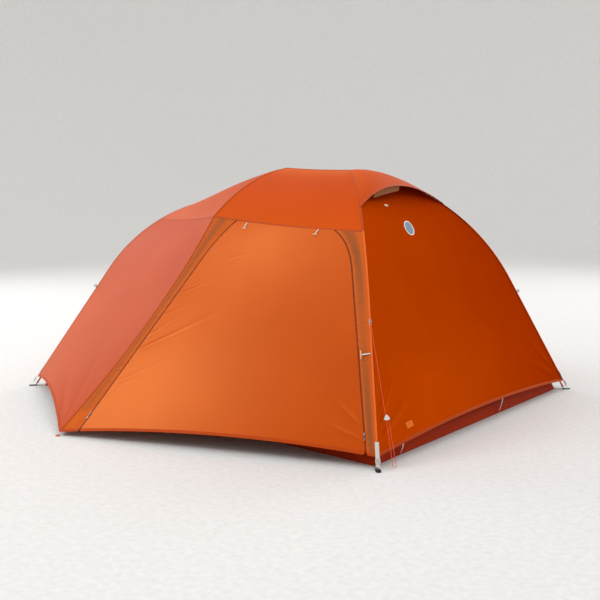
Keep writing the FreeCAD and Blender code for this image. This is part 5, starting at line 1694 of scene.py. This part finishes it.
# ---- inner tent and frame -------------------------------------------------------------------
@dataclass
class InnerTent:
    """Mesh walls, roof and doors, the tub walls and the floor."""

    lines: TentLines
    inset: float = 0.062
    eave_z: float = 0.850
    tub: float = 0.125
    floor: tuple[float, float, float] = (1.145, 0.890, 0.840)
    door_u: tuple[float, float] = (0.26, 0.80)
    door_v: tuple[float, float] = (0.06, 0.92)
    door_gap: float = 0.003
    top_s: float = 0.034

    def build(self) -> None:
        """Everything that hangs inside the fly."""
        k = self.lines
        head, foot = k.head_leg, k.foot_leg
        self.head_tub = head.at_height(self.tub, self.inset)
        self.foot_tub = foot.at_height(self.tub, self.inset)
        head_eave = head.at_height(self.eave_z, self.inset)
        foot_eave = foot.at_height(self.eave_z, self.inset)
        eave = through(foot.point(foot_eave, self.inset), np.array([-0.05, -0.520, 0.920]),
                       head.point(head_eave, self.inset), 0.5)
        top = through(foot.point(self.top_s, self.inset), np.array([-0.05, -0.002, 1.143]),
                      head.point(self.top_s, self.inset), 0.55)
        roof = coons(top, eave, foot.curve(self.top_s, foot_eave, self.inset),
                     head.curve(self.top_s, head_eave, self.inset))
        low = bowed(foot.point(self.foot_tub, self.inset), head.point(self.head_tub, self.inset))
        side = coons(eave, low, foot.curve(foot_eave, self.foot_tub, self.inset),
                     head.curve(head_eave, self.head_tub, self.inset))
        self.mesh("inner_roof_mesh", [Panel(roof, (60, 50), gap=(0.0015,) * 4, billow=0.0)],
                  "inner_roof", True)
        (u0, u1), (v0, v1) = self.door_u, self.door_v
        strips = [Panel(side, (16, 60), (0.0015,) * 4, u=u, v=v, billow=0.0)
                  for u, v in (((0.0, u0), (0.0, 1.0)), ((u1, 1.0), (0.0, 1.0)),
                               ((u0, u1), (0.0, v0)), ((u0, u1), (v1, 1.0)))]
        self.mesh("inner_side_mesh", strips, "inner_side_walls", True)
        for leg, tub, name in ((head, self.head_tub, "head"), (foot, self.foot_tub, "foot")):
            front = leg.curve(self.top_s, tub, self.inset)
            zero, one = front(np.array(0.0)), front(np.array(1.0))
            wall = coons(bowed(zero, zero * MIRROR), bowed(one, one * MIRROR), front,
                         opposite(front))
            self.mesh(f"inner_{name}_mesh", [Panel(wall, (60, 60), (0.0015,) * 4, billow=0.0)],
                      f"inner_{name}_wall", False)
        for at in Side:
            panel = Panel(side, (60, 60), (self.door_gap,) * 4, self.door_u, self.door_v,
                          billow=0.001)
            body = at.name("inner_door")
            door = Piece(body + "_mesh", panel.shell().on(at), body, INNER_MESH, Slot.MESH,
                         [body]).build()
            declare(door, [panel])
        self.tub_and_floor()

    def mesh(self, name: str, panels: Sequence[Panel], node: str, both: bool) -> None:
        """A mesh piece of one or several panels, on one side or on both."""
        shells = []
        for panel in panels:
            shell = panel.shell()
            shells += [shell.on(side) for side in (Side if both else (Side.FRONT,))]
        obj = Piece(name, joined(shells), Body.FRAME.value, INNER_MESH, Slot.MESH,
                    [node]).build()
        declare(obj, list(panels) * (2 if both else 1))

    def tub_and_floor(self) -> None:
        """Four low walls that lean in to the legs, and the floor between them."""
        x, head_y, foot_y = self.floor
        k = self.lines
        corners = [np.array([x, -head_y, 0.002]), np.array([x, head_y, 0.002]),
                   np.array([-x, foot_y, 0.002]), np.array([-x, -foot_y, 0.002])]
        head = k.head_leg.point(self.head_tub, self.inset)
        foot = k.foot_leg.point(self.foot_tub, self.inset)
        tops = [head, head * MIRROR, foot * MIRROR, foot]
        panels = []
        for i in range(4):
            j = (i + 1) % 4
            patch = coons(bowed(tops[i], tops[j], (0.0, 0.0, -0.004)),
                          bowed(corners[i], corners[j]), bowed(tops[i], corners[i]),
                          bowed(tops[j], corners[j]), 0.003)
            folds = [Fold((0.01, 0.95), (0.10, 0.30), 0.012, 0.003),
                     Fold((0.99, 0.95), (0.90, 0.30), 0.012, 0.003)]
            panels.append(Panel(patch, (160, 20), (0.0005,) * 4, thickness=0.0009,
                                billow=0.0012, folds=folds, seed=20 + i,
                                tone=lambda u, v, p: 0.25 + 0.6 * (v > 0.62)))
        obj = Piece("tub_wall_cloth", joined([panel.shell() for panel in panels]),
                    Body.FRAME.value, FLOOR_NYLON, Slot.FLOOR, ["tub_walls"]).build()
        declare(obj, panels)
        flat = Panel(coons(bowed(corners[3], corners[0]), bowed(corners[2], corners[1]),
                           bowed(corners[3], corners[2]), bowed(corners[0], corners[1])),
                     (80, 60), thickness=0.0009, billow=0.0, pucker=0.0,
                     tone=lambda u, v, p: np.full(u.shape, FLOOR_TONE))
        shell = flat.shell()
        shell.points[:, 2] = np.where(np.arange(len(shell.points)) < len(shell.points) // 2,
                                      0.0001, 0.0019)
        floor = Piece("floor_cloth", shell.outward(), Body.FRAME.value, FLOOR_NYLON,
                      Slot.FLOOR, ["floor_sheet"]).build()
        declare(floor, [flat])


@dataclass
class FrameFinishes:
    """Finishes of the nodes that keep their own shape."""

    finishes: dict[str, Finish] = field(default_factory=lambda: {
        "ridge_pole": POLE_ALLOY, "brow_pole": POLE_ALLOY, "front_head_leg_pole": POLE_ALLOY,
        "rear_head_leg_pole": POLE_ALLOY, "front_foot_leg_pole": POLE_ALLOY,
        "rear_foot_leg_pole": POLE_ALLOY, "pole_ferrules": STEEL, "pole_tips": STEEL,
        "shock_cords": SHOCK_CORD, "head_hub": CLIP_PLASTIC, "foot_hub": CLIP_PLASTIC,
        "brow_clip": DARK_PLASTIC, "pole_clips": DARK_PLASTIC, "corner_plates": DARK_PLASTIC,
        "guyout_rings": STEEL, "vestibule_stake_loops": ORANGE_PLASTIC})

    def build(self) -> None:
        """Puts a finish on every node that is shown."""
        for name, node in FRAME["nodes"].items():
            if node.hide_render:
                continue
            made = self.finishes[name].material()
            node.data.materials.clear()
            node.data.materials.append(made)
            LOG.info("%s: finish %s", name, made.name)


@dataclass(frozen=True)
class Lamp:
    """A square soft light: its place, its side and its power in watts."""

    name: str
    place: tuple[float, float, float]
    size: float
    power: float

    def build(self) -> None:
        """Makes the light, aimed at the tent's middle."""
        data = bpy.data.lights.new(self.name, "AREA")
        data.size, data.energy = self.size, self.power
        obj = bpy.data.objects.new(self.name, data)
        obj.location = self.place
        aim = Vector((0.0, 0.0, 0.5)) - Vector(self.place)
        obj.rotation_euler = aim.to_track_quat("-Z", "Y").to_euler()
        bpy.context.scene.collection.objects.link(obj)


@dataclass
class Studio:
    """A plain pale floor, soft lights and the camera."""

    place: tuple[float, float, float] = (3.1325, -3.8258, 1.1337)
    aim: tuple[float, float, float] = (0.04, 0.0, 0.50)
    lens: float = 54.0
    floor_radius: float = 9.0
    cove_radius: float = 5.0
    wall_top: float = 9.0
    world: float = 0.80
    turns: int = 96
    lamps: tuple[Lamp, ...] = (Lamp("key_light", (-3.2, -5.6, 5.6), 3.4, 210.0),
                               Lamp("side_light", (-6.0, 0.5, 3.6), 3.5, 90.0),
                               Lamp("fill_light", (5.5, -1.2, 4.6), 4.0, 40.0),
                               Lamp("back_light", (0.5, 6.5, 4.5), 4.0, 120.0))

    def build(self) -> None:
        """Camera first, then floor and lights."""
        scene = bpy.context.scene
        data = bpy.data.cameras.new("camera")
        data.lens, data.sensor_width = self.lens, 36.0
        data.clip_end = 200.0
        camera = bpy.data.objects.new("camera", data)
        camera.location = self.place
        camera.rotation_euler = (Vector(self.aim) - Vector(self.place)).to_track_quat(
            "-Z", "Y").to_euler()
        scene.collection.objects.link(camera)
        scene.camera = camera
        scene.view_settings.view_transform = "Standard"
        self.floor()
        for lamp in self.lamps:
            lamp.build()
        world = bpy.data.worlds.new("studio_world")
        world.use_nodes = True
        back = world.node_tree.nodes["Background"]
        back.inputs["Color"].default_value = (1.0, 1.0, 1.0, 1.0)
        back.inputs["Strength"].default_value = self.world
        scene.world = world

    def floor(self) -> None:
        """A round floor just under the ground plane, that curves up into a plain wall.

        Its profile is flat out to the floor radius, then a quarter turn of the cove radius, then
        upright to the wall's top; it is the same all the way round.
        """
        bend = np.linspace(0.0, math.pi / 2.0, 13)
        reach = np.concatenate([[0.001], self.floor_radius + self.cove_radius * np.sin(bend),
                                [self.floor_radius + self.cove_radius]])
        rise = np.concatenate([[0.0], self.cove_radius * (1.0 - np.cos(bend)),
                               [self.wall_top]]) - 0.0005
        turn = np.arange(self.turns) * (2.0 * math.pi / self.turns)
        rings = np.stack([reach[:, None] * np.cos(turn), reach[:, None] * np.sin(turn),
                          np.broadcast_to(rise[:, None], (len(rise), self.turns))], -1)
        index = np.arange(rings.shape[0] * self.turns).reshape(-1, self.turns)
        after = np.roll(index, -1, axis=1)
        faces = np.stack([index[:-1], index[1:], after[1:], after[:-1]], -1).reshape(-1, 4)
        mesh = bpy.data.meshes.new("studio_floor")
        mesh.from_pydata(rings.reshape(-1, 3).tolist(), [], faces.tolist())
        mesh.shade_smooth()
        mesh.materials.append(FLOOR_PALE.material())
        obj = bpy.data.objects.new("studio_floor", mesh)
        bpy.context.scene.collection.objects.link(obj)


def main() -> None:
    """Builds the studio and every sub-assembly in order."""
    lines = TentLines()
    for assembly in (Studio(), Guyline(lines), Rainfly(lines), VentHood(lines), Zips(lines),
                     Toggles(lines), Corners(lines), Labels(lines), InnerTent(lines),
                     FrameFinishes()):
        LOG.info("building %s", type(assembly).__name__)
        assembly.build()


if __name__ == "__main__":
    logging.basicConfig(level=logging.INFO, format="%(message)s")
    main()
